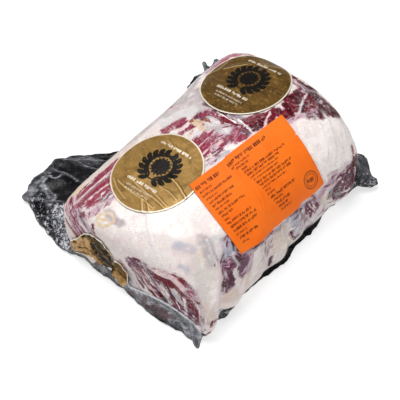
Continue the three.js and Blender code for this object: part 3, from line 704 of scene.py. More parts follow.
# %% The meat's material
def meat_finish():
    f = Finish("meat_tissue")
    share = f.attribute("share")
    here = f.place()
    fibres = f.node("Mapping", 0, None, Vector=f.attribute("fibre", "Vector"), Scale=(0.045, 0.3, 1.0))
    threads = f.grain(fibres, 1.0, 4.0, 0.62, 0.3)
    hairs = f.grain(fibres, 1.3, 2.0, 0.5, 0.6)
    blots = f.grain(here, 160.0, 5.0, 0.65, 0.3)
    fine = f.grain(here, 620.0, 3.0, 0.6)
    broad = f.grain(here, 48.0, 4.0, 0.6, 0.5)
    # a threshold on share + noise gives crisp, streaky borders between fat and lean
    streaks = f.math("MULTIPLY", f.math("SUBTRACT", threads, 0.5), 3.4)
    specks = f.math("MULTIPLY", f.math("SUBTRACT", blots, 0.5), 1.9)
    room = f.ramp(share, 0.0, 0.14)
    level = f.math("MULTIPLY_ADD", f.math("ADD", streaks, specks), room, share)
    tone = f.attribute("fat_tone", "Vector")
    pale = f.mix(f.ramp(broad, 0.42, 0.68, 0.0, 0.5), tone, linear(222, 198, 194))
    vein = f.math("ABSOLUTE", f.math("SUBTRACT", f.grain(here, 78.0, 3.0, 0.55, 1.4), 0.5))
    pale = f.mix(f.ramp(vein, 0.0, 0.022, 0.35, 0.0), pale, linear(176, 150, 154))
    pale = f.mix(f.ramp(blots, 0.48, 0.7, 0.0, 0.35), pale, linear(250, 245, 240))
    dark = f.attribute("lean_tone", "Vector")
    dark = f.mix(f.ramp(threads, 0.4, 0.53, 0.85, 0.0), dark, (0.3, 0.16, 0.22), "MULTIPLY")
    marbling = f.math("ABSOLUTE", f.math("SUBTRACT", hairs, 0.5))
    marbling = f.math("MULTIPLY", f.ramp(marbling, 0.0, 0.03, 0.6, 0.0), f.ramp(blots, 0.5, 0.6))
    dark = f.mix(marbling, dark, linear(214, 168, 172))
    dark = f.mix(f.ramp(fine, 0.6, 0.7, 0.0, 0.1), dark, linear(206, 140, 148))
    veil = f.mix(f.ramp(level, 0.16, 0.46, 0.0, 0.6), pale, linear(176, 122, 142))
    colour = f.mix(f.ramp(level, 0.42, 0.58), veil, dark)
    crease = f.attribute("crease")
    # The film's wrinkles are painted lighter on the meat here, a painted highlight, and bumped as creases.
    colour = f.mix(f.math("MULTIPLY", crease, 0.3), colour, linear(250, 246, 244))
    height = f.math("ADD", f.math("MULTIPLY", threads, share), f.math("MULTIPLY", blots, 0.5))
    creased = f.bump(crease, 0.35, 0.0015)
    f.principled(Base_Color=colour, Roughness=0.5, Specular_IOR_Level=0.02)
    f.principled(Normal=f.bump(height, 0.4, 0.0012, creased))
    film_grain = f.grain(here, 130.0, 4.0, 0.62, 1.6)
    f.principled(Coat_Weight=0.02, Coat_Roughness=0.08, Coat_Normal=f.bump(film_grain, 0.4, 0.0018))
    return f.material


meat.data.materials.append(meat_finish())
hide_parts("vacuum_pack")
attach(meat, "root")

# %% [markdown]
# ## Where the labels lie
# A label is flat paper laid on a curved loaf. Each of its points starts at the middle and walks
# straight over the surface for its own distance, so the paper isn't stretched. A step of the
# walk turns the direction d so that the loaf's point moves by the step wanted, which takes the
# two ways in which the surface runs at d.

# %% Walking over the loaf
WALK_STEPS = 16
LABEL_FRONT_AT = (-60.4, 29.8, 110.9)
LABEL_BACK_AT = (84.6, 34, 122.4)
LABEL_END_AT = (-141, 48, 23)
ORANGE = {"at": (1.4, -62, 113.7), "width": 127, "height": 88.5, "turn": -0.108}
ROUND_RADIUS = 50.0


def patch(d, turn=1e-4):
    """Point, unit normal, two ways to turn d, and how the point moves for each."""
    helper = np.where(np.abs(d[..., 2:3]) < 0.9, [0, 0, 1.0], [1.0, 0, 0])
    sideways = unit(np.cross(helper, d))
    upwards = np.cross(d, sideways)
    point = loaf(d)
    along_side = (loaf(unit(d + turn * sideways)) - point) / turn
    along_up = (loaf(unit(d + turn * upwards)) - point) / turn
    return point, unit(np.cross(along_side, along_up)), sideways, upwards, along_side, along_up


def turned(d, spot, step):
    """d turned so that its point moves by step: least squares on the two ways the surface runs."""
    _, _, sideways, upwards, s, t = spot
    a, b, c = (s * s).sum(-1), (s * t).sum(-1), (t * t).sum(-1)
    p, q = (step * s).sum(-1), (step * t).sum(-1)
    size = a * c - b * b
    aside, upward = (c * p - b * q) / size, (a * q - b * p) / size
    return unit(d + aside[..., None] * sideways + upward[..., None] * upwards)


def direction_of(at):
    """The direction whose point on the loaf is nearest to the place at."""
    target = np.asarray(at, float)
    d = unit((target - [*MIDDLE, WAIST])[None])
    for _ in range(60):
        spot = patch(d)
        miss = target - spot[0]
        miss = miss - (miss * spot[1]).sum(-1, keepdims=True) * spot[1]
        d = turned(d, spot, unit(miss) * np.minimum(np.linalg.norm(miss), 12))
    return d


def lay_on(at, right, flat):
    """Walks the flat points (a, b) over the loaf from the place at. Gives directions and normals."""
    middle = direction_of(at)
    n = patch(middle)[1]
    ahead = unit(np.asarray(right, float) - (np.asarray(right, float) * n).sum() * n)
    up = np.cross(n, ahead)
    length = np.linalg.norm(flat, axis=-1, keepdims=True)
    way = (flat[:, :1] * ahead + flat[:, 1:] * up) / np.maximum(length, 1e-9)
    d = np.repeat(middle, len(flat), 0)
    for _ in range(WALK_STEPS):
        spot = patch(d)
        way = unit(way - (way * spot[1]).sum(-1, keepdims=True) * spot[1])
        d = turned(d, spot, way * length / WALK_STEPS)
    return d, patch(d)[1]


print("label middles:", [direction_of(at).round(3).tolist() for at in (LABEL_FRONT_AT, LABEL_BACK_AT)])

# %% [markdown]
# ## The clear film
# The front sheet is drawn tight by the vacuum, so it follows the meat closely and shows mainly
# by its wrinkles: long bright ridges where it had spare length, and a net of fine ones. It is a
# shell a little outside the meat, open at its foot. Each ridge is a bell-shaped rise along a path,
# and the same rise tells the material where the doubled film turns milky and where it lays a
# painted highlight along the ridge.

# %% The film over the meat
FILM_GAP = 0.75
FILM_LATTICE = (232, 138, 100)
FILM_FOOT = 2.0  # the clear sheet ends below the height at which the border leaves the meat
WRINKLES = [  # height, width, path
    (1.5, 1.5, [(-102, 4, 105), (-114, -7, 102), (-121, -17, 99), (-129, -31, 90), (-134, -37, 76)]),
    (1.0, 1.3, [(-104, 30, 104), (-111, 16, 105), (-114, 2, 104)]),
    (1.0, 1.3, [(-87, -61, 100), (-90, -68, 96), (-93, -80, 84)]),
    (1.2, 1.3, [(-74, -68, 99), (-75, -75, 93), (-80, -80, 84), (-90, -88, 72)]),
    (1.0, 1.3, [(-65, -81, 88), (-72, -84, 81), (-73, -91, 72)]),
    (1.2, 1.4, [(-136, -18, 79), (-136, -24, 66), (-134, -31, 50), (-133, -42, 42), (-133, -55, 36)]),
    (1.1, 1.4, [(-137, -4, 56), (-136, -12, 40), (-136, -24, 33)]),
    (1.3, 1.3, [(-135, -38, 76), (-132, -52, 77), (-130, -63, 73), (-129, -72, 66)]),
    (1.0, 1.3, [(-135, -41, 62), (-133, -47, 46), (-134, -54, 30)]),
    (0.9, 1.3, [(-131, -70, 61), (-131, -73, 34)]),
    (0.9, 1.3, [(-128, -80, 62), (-127, -88, 46), (-129, -92, 30)]),
    (0.9, 1.2, [(108, -52, 121), (104, -66, 113), (97, -78, 103), (87, -87, 90), (74, -93, 76)]),
    (0.8, 1.2, [(97, -46, 124), (94, -60, 119), (87, -75, 107), (76, -84, 95), (63, -91, 82)]),
    (0.8, 1.2, [(119, -63, 111), (118, -76, 100), (114, -87, 86), (107, -97, 70)]),
    (0.6, 1.1, [(90, -43, 126), (83, -58, 120), (75, -72, 109)]),
    (0.7, 1.1, [(112, -74, 104), (102, -87, 89), (86, -95, 73)]),
    (0.9, 0.8, [(37, 9, 124), (35, -3, 126), (33, -15, 127)]),
    (1.1, 1.2, [(86, -39, 127), (98, -33, 128), (108, -29, 127)]),
    (0.9, 1.3, [(-57, -95, 72), (-68, -98, 62), (-78, -100, 46)]),
    (1.0, 1.3, [(-46, -94, 76), (-57, -98, 67), (-67, -101, 52)]),
    (0.9, 1.3, [(-32, -93, 70), (-42, -97, 60), (-49, -98, 40)]),
    (0.9, 1.3, [(-7, -96, 64), (-16, -97, 50), (-20, -96, 28)]),
    (0.9, 1.3, [(7, -93, 72), (2, -95, 56), (-12, -99, 48)]),
    (0.8, 1.3, [(22, -95, 68), (17, -98, 54), (12, -97, 38)]),
    (0.9, 1.3, [(67, -95, 62), (62, -97, 46), (50, -97, 40)]),
    (0.8, 1.3, [(82, -96, 72), (74, -98, 60), (72, -95, 38)]),
    (0.8, 1.3, [(80, -98, 42), (101, -101, 30), (116, -100, 30)]),
    (0.9, 1.3, [(-101, -94, 64), (-118, -95, 62), (-126, -95, 44), (-130, -94, 24)]),
    (0.7, 1.2, [(27, 68, 110), (43, 62, 114), (66, 64, 114)]),
    (0.6, 1.2, [(10, 68, 108), (24, 60, 113), (38, 52, 117)]),
    (0.7, 1.2, [(118, -8, 125), (118, -24, 125), (125, -34, 121)]),
    (0.7, 1.2, [(-100, 56, 98), (-122, 52, 92), (-139, 50, 78)]),
    (0.8, 1.2, [(-132, 80, 80), (-121, 78, 87), (-103, 75, 92), (-86, 69, 97)]),
]
FINE_WRINKLES = [(36, 0.3, 41), (16, 0.22, 42), (8, 0.12, 43)]  # size, height, seed of the fine net
LABEL_KEEP = 8.0  # wrinkles fade out over this distance from a label's rim, mm
SHOULDER = 70  # the orange label reaches no lower than this
WANDER = 1.6  # wrinkles leave their paths by about this much
NET_MILK_AND_HIGHLIGHT = 0.22


def under_labels(points):
    """1 where a label covers the film and 0 away from the labels."""
    covered = np.zeros(len(points))
    for at in (LABEL_FRONT_AT, LABEL_BACK_AT, LABEL_END_AT):
        past = ROUND_RADIUS + LABEL_KEEP / 2 - np.linalg.norm(points - np.array(at), axis=-1)
        covered = np.maximum(covered, smooth(past / LABEL_KEEP))
    right = np.array([np.cos(ORANGE["turn"]), np.sin(ORANGE["turn"]), 0])
    _, normal_here, *_ = patch(direction_of(ORANGE["at"]))
    up = np.cross(normal_here[0], right)
    off = points - np.array(ORANGE["at"])
    inside = np.minimum(ORANGE["width"] / 2 - np.abs(off @ right), ORANGE["height"] / 2 - np.abs(off @ up))
    above = points[:, 2] > SHOULDER
    return np.maximum(covered, above * smooth((inside + LABEL_KEEP / 2) / LABEL_KEEP))


def film_points(at, out):
    """at + out * (gap + swell + wrinkles), where a wrinkle is height * exp(-(distance / width)^2)."""
    free = 1 - under_labels(at)
    milk_and_highlight = np.zeros(len(at))
    lift = np.zeros(len(at))
    wander = np.stack([noise(at, 14, seed) for seed in (45, 46, 47)], -1) * WANDER
    for high, width, path in WRINKLES:
        rise = np.exp(-((near_path(at + wander, path)[0] / width) ** 2))
        lift += high * rise
        milk_and_highlight = np.maximum(milk_and_highlight, rise * min(1, high))
    for size, high, seed in FINE_WRINKLES:
        net = ridges(at, size, seed, 16) * smooth(noise(at, size * 2.5, seed + 5) + 0.4)
        lift += high * net
        milk_and_highlight = np.maximum(milk_and_highlight, NET_MILK_AND_HIGHLIGHT * net)
    swell = sum(high * noise(at, size, seed) for size, high, seed in SWELL)
    points = at + out * (FILM_GAP + swell * free + lift * free)[:, None]
    return points, milk_and_highlight * free


film_ways, film_quads = box_lattice(*FILM_LATTICE)
film_base = surface(film_ways)
film_normal = outward(film_base, film_quads)
film_at, milk_and_highlight = film_points(film_base, film_normal)
film_quads = film_quads[film_base[film_quads, 2].min(axis=1) > FILM_FOOT]
kept, renumbered = np.unique(film_quads, return_inverse=True)
film_quads = renumbered.reshape(film_quads.shape)
# The film's wrinkle lines sampled on the meat, which its shader paints lighter as a painted highlight.
_, crease = film_points(base, normal)
meat.data.attributes.new("crease", "FLOAT", "POINT").data.foreach_set("value", crease.astype(np.float32))
clear_film = make_mesh("clear_film", film_at[kept], [film_quads], {"milk_and_highlight": milk_and_highlight[kept]})

# %% [markdown]
# ## Finish of the clear film
# Clear film shows what is behind it and reflects the room, more so where it turns away from the
# eye. So the shader is see-through nearly everywhere: its white cover grows at glancing angles,
# as a painted reflection, and on the wrinkles, where the film is doubled and looks milky and the
# cover is also a painted highlight.

# %% The clear film's material
WRINKLE_COVER = 0.5
GLANCE_COVER = 0.03
SMEAR_COVER = 0.02
MOST_COVER = 0.9
# The fine fold lines of cover are painted highlights.
HAIR_FOLDS = ((58.0, 0.011, 0.4), (120.0, 0.016, 0.22))  # scale, thinness, cover of fine fold lines


def clear_finish():
    f = Finish("clear_film")
    smear = f.grain(f.place(), 38.0, 4.0, 0.65, 0.8)
    glance = f.math("POWER", f.node("LayerWeight", "Facing", None, Blend=0.5), 3.0)
    # Cover on the wrinkles is milky doubled film and a painted highlight.
    wrinkled = f.math("MULTIPLY", f.attribute("milk_and_highlight"), WRINKLE_COVER)
    cover = f.math("ADD", wrinkled, f.math("MULTIPLY", glance, GLANCE_COVER))
    cover = f.math("ADD", cover, f.ramp(smear, 0.55, 0.8, 0.0, SMEAR_COVER))
    where = f.ramp(f.grain(f.place(), 26.0, 2.0), 0.42, 0.6)
    for scale, thin, bright in HAIR_FOLDS:
        fold = f.grain(f.place((1, 1, 0.45)), scale, 3.0, 0.55, 1.6)
        line = f.ramp(f.math("ABSOLUTE", f.math("SUBTRACT", fold, 0.5)), 0.0, thin, bright, 0.0)
        cover = f.math("MULTIPLY_ADD", line, where, cover)
    fine = f.grain(f.place(), 210.0, 2.0, 0.5, 0.6)
    f.principled(Base_Color=(0.88, 0.87, 0.89), Roughness=0.14, Specular_IOR_Level=0.7)
    f.principled(Normal=f.bump(fine, 0.22, 0.001))
    f.see_through(f.math("MINIMUM", cover, MOST_COVER))
    return f.material


clear_film.data.materials.append(clear_finish())
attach(clear_film, "root")

# %% [markdown]
# ## The border of loose film
# Where the two sheets meet they spread out on the surface below: a wide black wing at the left,
# a narrow grey skirt with a tail along the left end, small ears and tufts at the corners and a
# thin black strip along the front. The free edge is a smooth closed curve through given points.
# The film runs from the meat to this curve, dropping near the meat and then lying flat.

# %% The free edge and the way to it
FILM_EDGE = np.array([  # x, y, z of the free edge, and the height at which the film leaves the meat
    (-119, -86, 2, 4), (-130, -92, 2, 16), (-141, -97, 2, 26), (-138, -84, 3, 28),
    (-140, -69, 3, 30), (-143, -47, 3, 29), (-144, -27, 2, 24), (-142, -6, 3, 16),
    (-141, 22, 3, 27), (-143, 45, 3, 26), (-140, 66, 4, 20),
    (-146, 84, 4, 13), (-148, 94, 4, 9), (-147, 104, 4, 12), (-145, 116, 4, 18), (-142, 127, 4, 24),
    (-141, 132, 5, 26), (-142, 135, 5, 27), (-135, 153, 5, 31), (-130, 166, 6, 33), (-130, 176, 7, 34),
    (-120, 178, 7, 34), (-112, 182, 8, 34), (-104, 185, 9, 34), (-94, 183, 10, 34), (-85, 183, 11, 34),
    (-77, 183, 12, 34), (-70, 184, 12, 34), (-63, 178, 12, 33), (-55, 174, 12, 32), (-46, 167, 11, 31),
    (-37, 160, 9, 30), (-28, 150, 10, 30), (-13, 136, 13, 28),
    (10, 122, 10, 26), (50, 114, 5, 24), (88, 120, 10, 24),
    (106, 137, 20, 28), (130, 144, 20, 32), (136, 139, 22, 36), (138, 141, 38, 44),
    (140, 131, 36, 46), (149, 132, 40, 46), (148, 118, 42, 44),
    (151, 92, 18, 34), (150, 60, 6, 24), (149, 20, 4, 20), (149, -20, 5, 20), (151, -48, 10, 26),
    (160, -69, 18, 36), (161, -86, 19, 38), (152, -100, 13, 34), (148, -114, 10, 26),
    (138, -110, 9, 20), (131, -99, 14, 14),
    (110, -93, 2, 4), (80, -89, 1.6, 3), (64, -94, 1.6, 3), (39, -95.5, 1.6, 3),
    (22, -94, 1.6, 3), (0, -98.5, 1.6, 3), (-24, -94, 1.6, 3), (-48, -91, 1.6, 3),
    (-74, -91, 2, 4), (-86, -95, 10, 19), (-98, -97, 10, 22), (-106, -89, 3, 7),
], float)
AROUND = 696
EVEN_SPAN = 30  # points on each side that even out the way from the meat
ROOT_TUCK = 0.4
EDGE_JAG = 1.1
FILM_DROP = 1.6
FILM_WAVE = 1.6
FILM_WAVES = 13


def closed_curve(points, steps):
    """Centripetal Catmull-Rom curve through points, closed: Hermite pieces whose knots are |gap|^(1/2)."""
    count = len(points)
    at = np.arange(steps) / steps * count
    i = at.astype(int)
    t = (at - i)[:, None]
    p0, p1, p2, p3 = (points[(i + k) % count] for k in (-1, 0, 1, 2))
    gaps = ((p0, p1), (p1, p2), (p2, p3))
    d0, d1, d2 = (np.sqrt(np.linalg.norm(b - a, axis=-1, keepdims=True)) for a, b in gaps)
    m1 = d1 * ((p1 - p0) / d0 - (p2 - p0) / (d0 + d1) + (p2 - p1) / d1)
    m2 = d1 * ((p2 - p1) / d1 - (p3 - p1) / (d1 + d2) + (p3 - p2) / d2)
    return p1 + m1 * t + (3 * (p2 - p1) - 2 * m1 - m2) * t**2 + (2 * (p1 - p2) + m1 + m2) * t**3


free_edge = closed_curve(FILM_EDGE[:, :3], AROUND)
level_edge = free_edge * [1, 1, 0]
for axis, seed in ((0, 91), (1, 92)):
    free_edge[:, axis] += EDGE_JAG * noise(level_edge, 6, seed, 2)
heights = np.stack([np.arange(len(FILM_EDGE)), FILM_EDGE[:, 3]], -1)
heights = np.vstack([heights, [[len(heights), heights[0, 1]]]])
ring_place = np.arange(AROUND) / AROUND * len(FILM_EDGE)
root_height = np.maximum(np.interp(ring_place, heights[:, 0], heights[:, 1]), 2)


def root_directions():
    """Level directions from the middle to the free edge, each the mean of its neighbours."""
    off = free_edge[:, :2] - MIDDLE
    off[:, 0] /= np.where(off[:, 0] < 0, REACH["left"], REACH["right"])
    off[:, 1] /= np.where(off[:, 1] < 0, REACH["front"], REACH["back"])
    flat = unit(off)
    mean = sum(np.roll(flat, k, 0) for k in range(-EVEN_SPAN, EVEN_SPAN + 1))
    return unit(mean)


def tilted(flat, tilt):
    """Directions turned up by the angle tilt from level ones."""
    return np.concatenate([flat * np.cos(tilt)[:, None], np.sin(tilt)[:, None]], -1)


def root_tilt(flat, height):
    """The angle at which the loaf's surface has the wanted height, by halving."""
    low, high = np.full(len(flat), -1.2), np.full(len(flat), 1.2)
    for _ in range(22):
        middle = (low + high) / 2
        below = surface(tilted(flat, middle))[:, 2] < height
        low, high = np.where(below, middle, low), np.where(below, high, middle)
    return (low + high) / 2


flat_ways = root_directions()
tilts = root_tilt(flat_ways, root_height)
roots = surface(tilted(flat_ways, tilts))
edge_steps = np.linalg.norm(np.roll(free_edge, -1, 0) - free_edge, axis=1)
print("border: length", round(float(edge_steps.sum())), "mm")

# %% [markdown]
# ## Crumples in the border
# Loose film creases when the air is drawn out. A crumple is a ridge with a sharp crest: it rises
# in a straight line on both sides, height * max(0, 1 - distance / width). The wing has long
# named folds, seen in its outline and its shine, and a net of short random ones.

# %% Rows of the border
ACROSS = 38
FOLD_LINES = [  # height, width, path over the wing and skirt
    (5.0, 10, [(-126, 170), (-118, 150), (-124, 124), (-136, 96)]),
    (3.0, 8, [(-118, 150), (-108, 128), (-104, 106)]),
    (3.2, 7, [(-84, 182), (-78, 158), (-78, 130), (-80, 106)]),
    (3.2, 8, [(-66, 180), (-61, 160), (-58, 134), (-56, 110)]),
    (2.4, 6, [(-132, 140), (-122, 120), (-118, 104)]),
    (2.0, 5, [(-146, 96), (-138, 84), (-130, 80)]),
    (1.6, 4, [(-140, 60), (-143, 40), (-141, 20)]),
    (1.6, 4, [(-141, -20), (-140, -50), (-136, -78)]),
]
ROUGH = [  # how crumpled, half width, path
    (1.0, 20, [(-120, 150, 10), (-130, 125, 8), (-140, 100, 6), (-144, 76, 6)]),
    (0.9, 14, [(-141, 60, 6), (-142, 0, 6), (-140, -90, 6)]),
    (1.0, 26, [(140, 135, 36), (158, -76, 16), (150, -104, 12)]),
    (1.0, 18, [(150, -110, 12), (134, -104, 12)]),
    (0.9, 14, [(-104, -94, 4), (-86, -92, 4)]),
]
SALT = [  # how thickly the film is flecked with painted glints, half width, path
    (0.22, 12, [(-124, 158, 6), (-132, 143, 6), (-138, 128, 6)]),
    (0.6, 12, [(-138, 122, 6), (-143, 110, 6), (-146, 97, 6)]),
    (0.9, 10, [(-121, 124, 14), (-131, 109, 10), (-140, 92, 8)]),
    (0.1, 12, [(-141, 60, 6), (-142, 0, 6), (-140, -90, 6)]),
    (0.06, 24, [(140, 135, 36), (158, -76, 16), (150, -104, 12)]),
    (0.2, 16, [(150, -110, 12), (134, -104, 12)]),
    (0.2, 12, [(-104, -94, 4), (-86, -92, 4)]),
]


def bent(points, reach, size, seed):
    """Points moved a little in x and y by noise, so that straight paths wander."""
    level = 0 * points[..., 0]
    return points + reach * np.stack([noise(points, size, seed), noise(points, size, seed + 1), level], -1)


CREST_LINE = 1.3  # half width of the line along a crest


def crumple(x, y, lines):
    """Height of straight-sided ridges along flat paths, and 1 at their crests."""
    p = bent(np.stack([x, y, np.zeros_like(x)], -1).reshape(-1, 3), 2.2, 13, 61)
    lift = np.zeros(len(p))
    crest = np.zeros(len(p))
    for high, width, path in lines:
        gap = near_path(p, [(*q, 0) for q in path])[0]
        lift = np.maximum(lift, high * np.clip(1 - gap / width, 0, 1))
        crest = np.maximum(crest, np.exp(-((gap / CREST_LINE) ** 2)))
    return lift.reshape(x.shape), crest.reshape(x.shape)


def patches(points, rows_of_patches, base_value, seed, soft=8, reach=4):
    """The greatest of the patch values whose round brush covers a point, with wobbled soft rims."""
    value = np.full(len(points), base_value)
    wobble = reach * noise(points, 11, seed, 2)
    for amount, half, path in rows_of_patches:
        cover = smooth((half - near_path(points, path)[0] - wobble) / soft + 0.5)
        value = np.maximum(value, amount * cover)
    return value


def border_rows():
    """Rows from the meat (s = 0) to the free edge (s = 1); z = edge + (root - edge) (1 - s)^drop + waves."""
    inward = np.concatenate([MIDDLE - roots[:, :2], np.zeros((AROUND, 1))], -1)
    begin = roots + ROOT_TUCK * unit(inward)
    width = np.linalg.norm(free_edge - begin, axis=-1)
    s = np.linspace(0, 1, ACROSS)[None] ** 1.15
    rows = begin[:, None] + (free_edge - begin)[:, None] * s[..., None]
    t = (np.arange(AROUND) / AROUND)[:, None]
    wave = FILM_WAVE * np.minimum(width / 40, 1)[:, None] * np.sin(2 * np.pi * (FILM_WAVES * t + s))
    rows[..., 2] = free_edge[:, 2:] + (roots[:, 2] - free_edge[:, 2])[:, None] * (1 - s) ** FILM_DROP
    rows[..., 2] += wave * 4 * s * (1 - s)
    return rows, np.repeat(s, AROUND, 0), np.clip(width, 1, None)


rows, out_share, loose = border_rows()
room = smooth(loose / 25)[:, None]  # how much room a place has for crumples
rough = patches(rows.reshape(-1, 3), ROUGH, 0.3, 66).reshape(out_share.shape)
glint_flecks = patches(rows.reshape(-1, 3), SALT, 0.0, 67, 6, 3).reshape(out_share.shape)
fold_lift, fold_crest = crumple(rows[..., 0], rows[..., 1], FOLD_LINES)
spots = rows * [1, 1, 0]
net_large = ridges(spots, 17, 71, 4) - 0.4
net_small = ridges(spots, 6.5, 72, 4) - 0.4
net_fine = noise(spots, 3.4, 74)
middle_of_row = np.sin(np.pi * np.clip(out_share, 0, 1) ** 0.8)
crumpled = fold_lift * middle_of_row * room
net = net_large * 1.6 + net_small * 1.0 + net_fine * 0.35
crumpled += net * rough * (0.25 + 0.75 * room) * smooth(out_share * 6)
FLOOR_CLEAR = 0.25  # no film lies lower than this


def ring_quads(around, across, start=0):
    """Quads of a closed ring of around rows with across points each."""
    i, j = np.meshgrid(np.arange(around), np.arange(across - 1), indexing="ij")
    after = (i + 1) % around
    ring = [i * across + j, after * across + j, after * across + j + 1, i * across + j + 1]
    return start + np.stack(ring, -1).reshape(-1, 4)


# %% [markdown]
# ## The black back sheet
# The back sheet is one piece: it lies under the whole pack, comes up round the foot of the meat
# to the height where the sheets meet, and then spreads out as the lower layer of the border. So
# its rows start at a point under the middle, climb the loaf, and go on to the free edge.

# %% The black sheet
UNDER_ROWS = 18
SHEET_GAP = 1.15
FOOT_TUCK = 1.8  # where the border is hidden under the meat its foot is too
SHEET_THICK = 0.35


def black_rows():
    """Loaf rows from straight down (tilt -90 degrees) to the root, then the border's own rows."""
    part = np.linspace(0, 1, UNDER_ROWS + 1)[1:] ** 0.8
    under = []
    for share_up in part:
        tilt = -np.pi / 2 + (tilts + np.pi / 2) * share_up
        p = surface(tilted(flat_ways, tilt))
        out = np.concatenate([p[:, :2] - MIDDLE, np.zeros((AROUND, 1))], -1)
        gap = SHEET_GAP * smooth(share_up * 1.6) * (1 - share_up**8)
        gap = gap - FOOT_TUCK * smooth((4.5 - root_height) / 1.5)
        p = p + gap[:, None] * unit(out)
        under.append(p)
    under = np.stack(under, 1)
    border = rows.copy()
    border[..., 2] += crumpled - SHEET_THICK
    both = np.concatenate([under, border], 1)
    both[..., 2] = np.maximum(both[..., 2], FLOOR_CLEAR)
    return both


black_at = black_rows()
black_across = black_at.shape[1]
points = np.vstack([black_at.reshape(-1, 3), [[*MIDDLE, FLOOR_CLEAR]]])
sheet_quads = ring_quads(AROUND, black_across)
number = np.arange(AROUND) * black_across
fan = np.stack([np.full(AROUND, len(points) - 1), np.roll(number, -1), number], -1)
dull = np.concatenate([np.zeros((AROUND, UNDER_ROWS)), glint_flecks], 1).ravel()
black_sheet = make_mesh("black_sheet", points, [sheet_quads, fan], {"glint_flecks": np.append(dull, 0)})
solid = black_sheet.modifiers.new("thickness", "SOLIDIFY")
solid.thickness = SHEET_THICK * MM
solid.offset = 0

# %% [markdown]
# ## Finish of the black sheet
# Black barrier film is glossy and a little greyer in clouds, light flecks are painted on it as
# glints, and its creases catch the light as thin bright lines.

# %% The black sheet's material
def black_finish():
    f = Finish("black_back_film")
    here = f.place()
    flakes = f.grain(here, 330.0, 3.0, 0.6, 1.0)
    cloud = f.grain(here, 30.0, 3.0, 0.6)
    dull = f.mix(f.ramp(cloud, 0.42, 0.66), linear(8, 7, 9), linear(22, 21, 23))
    # Light flecks painted into the colour as glints.
    bits = f.math("MULTIPLY", f.ramp(flakes, 0.58, 0.64), f.attribute("glint_flecks"))
    colour = f.mix(f.math("MULTIPLY", bits, 0.8), dull, linear(172, 172, 180))
    f.principled(Base_Color=colour, Roughness=f.ramp(cloud, 0.3, 0.7, 0.16, 0.3), Specular_IOR_Level=0.25)
    f.principled(Normal=f.bump(flakes, 0.3, 0.0012))
    return f.material


black_sheet.data.materials.append(black_finish())
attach(black_sheet, "root")

# %% [markdown]
# ## The clear border
# Over the black sheet lies the clear one. It is bonded to it at the free edge and leaves the
# meat along a bright seam, milky film with a painted highlight on its bead. Air and folds between
# the two make it grey and milky: lightly over the wing, more along its rim, and most on the tail,
# the ears and the tufts. Its fold crests and thin fold lines carry painted highlights.

# %% The clear upper layer
CLEAR_RISE = 1.3
SEAM_BEAD = 1.0
MILK = [  # how milky, half width, path
    (0.95, 14, [(-143, -97, 3), (-136, -88, 14), (-133, -74, 24)]),
    (0.8, 15, [(-134, -84, 28), (-136, -60, 24), (-138, -30, 18), (-139, -6, 9)]),
    (0.62, 14, [(-139, -2, 8), (-140, 24, 7), (-140, 50, 7)]),
    (0.16, 12, [(-51, 162, 14), (-48, 149, 18)]),
    (0.36, 9, [(-121, 124, 14), (-131, 109, 10), (-138, 90, 8)]),
    (0.5, 10, [(-141, 70, 8), (-144, 84, 6)]),
    (0.50, 14, [(134, 142, 30), (144, 130, 38)]),
    (0.30, 16, [(154, -70, 18), (150, -96, 14), (144, -108, 10)]),
    (0.25, 8, [(-100, -95, 4), (-88, -94, 4)]),
]
STRIPS = [  # crisp patches of doubled film: how milky, half width, flat path
    (0.3, 1.8, [(-83, 178, 0), (-95, 176, 0)]),
    (0.75, 2.6, [(-97, 176, 0), (-109, 175, 0)]),
    (0.72, 3.8, [(-110, 176, 0), (-126, 171, 0)]),
    (0.34, 3.4, [(-104, 167, 0), (-107, 156, 0), (-113, 144, 0)]),
]
FOLD_HIGHLIGHTS = [  # brightness, half width, flat path of a painted highlight on a thin fold line in the film of the border
    (0.9, 1.0, [(-89, 170), (-90, 166), (-90, 162), (-86, 159), (-82, 158)]),
    (0.5, 1.0, [(-80, 179), (-80, 172), (-79, 163), (-80, 154), (-79, 136)]),
    (0.46, 1.0, [(-65, 173), (-59, 168), (-58, 160), (-57, 151), (-57, 134)]),
    (0.36, 1.0, [(-60, 176), (-52, 158), (-42, 140)]),
    (0.75, 1.0, [(-104, 169), (-109, 156), (-117, 144)]),
    (0.7, 1.0, [(-103, 168), (-104, 157), (-109, 141)]),
    (0.8, 1.0, [(-117, 144), (-114, 140), (-109, 141)]),
    (0.8, 0.9, [(-83, 176), (-95, 172), (-104, 169), (-113, 168), (-122, 167), (-129, 166)]),
    (1.0, 1.6, [(-120, 141), (-119, 139)]),
]
STAINS = [  # how stained with juice, half width, path
    (1.0, 9, [(-141, -19, 12), (-139, -36, 12), (-138, -53, 12)]),
    (0.7, 6, [(-141, 16, 8), (-141, -4, 8)]),
]
SEAM_MIDDLE = -47  # the bright seam runs along the left end, this far from the middle in y
SEAM_HALF = 53
SEAM_FADE = 8
SEAM_MILK = 0.85
CREST_MILK_AND_HIGHLIGHT = 0.3
NET_CREST_MILK_AND_HIGHLIGHT = 0.2
RIM_MILK = 0.3


def clear_rows():
    """Border rows raised over the black ones, closing on them at the free edge, with a bead at the seam."""
    over = rows.copy()
    extra = net_small * 0.8 * room * rough + CLEAR_RISE * np.sin(np.pi * np.clip(out_share, 0, 1) ** 0.7)
    bead = SEAM_BEAD * np.exp(-(((out_share * loose[:, None] - 1.2) / 1.3) ** 2))
    over[..., 2] += crumpled + extra + bead + 0.1
    steep = np.clip((roots[:, 2] - free_edge[:, 2]) / loose, 0, 1)[:, None]
    outwards = (extra + bead + 0.3) * steep * (1 - out_share)
    over += unit((free_edge - roots) * [1, 1, 0])[:, None] * outwards[..., None]
    over[..., 2] = np.maximum(over[..., 2], FLOOR_CLEAR + SHEET_THICK + 0.3)
    return over, bead / SEAM_BEAD


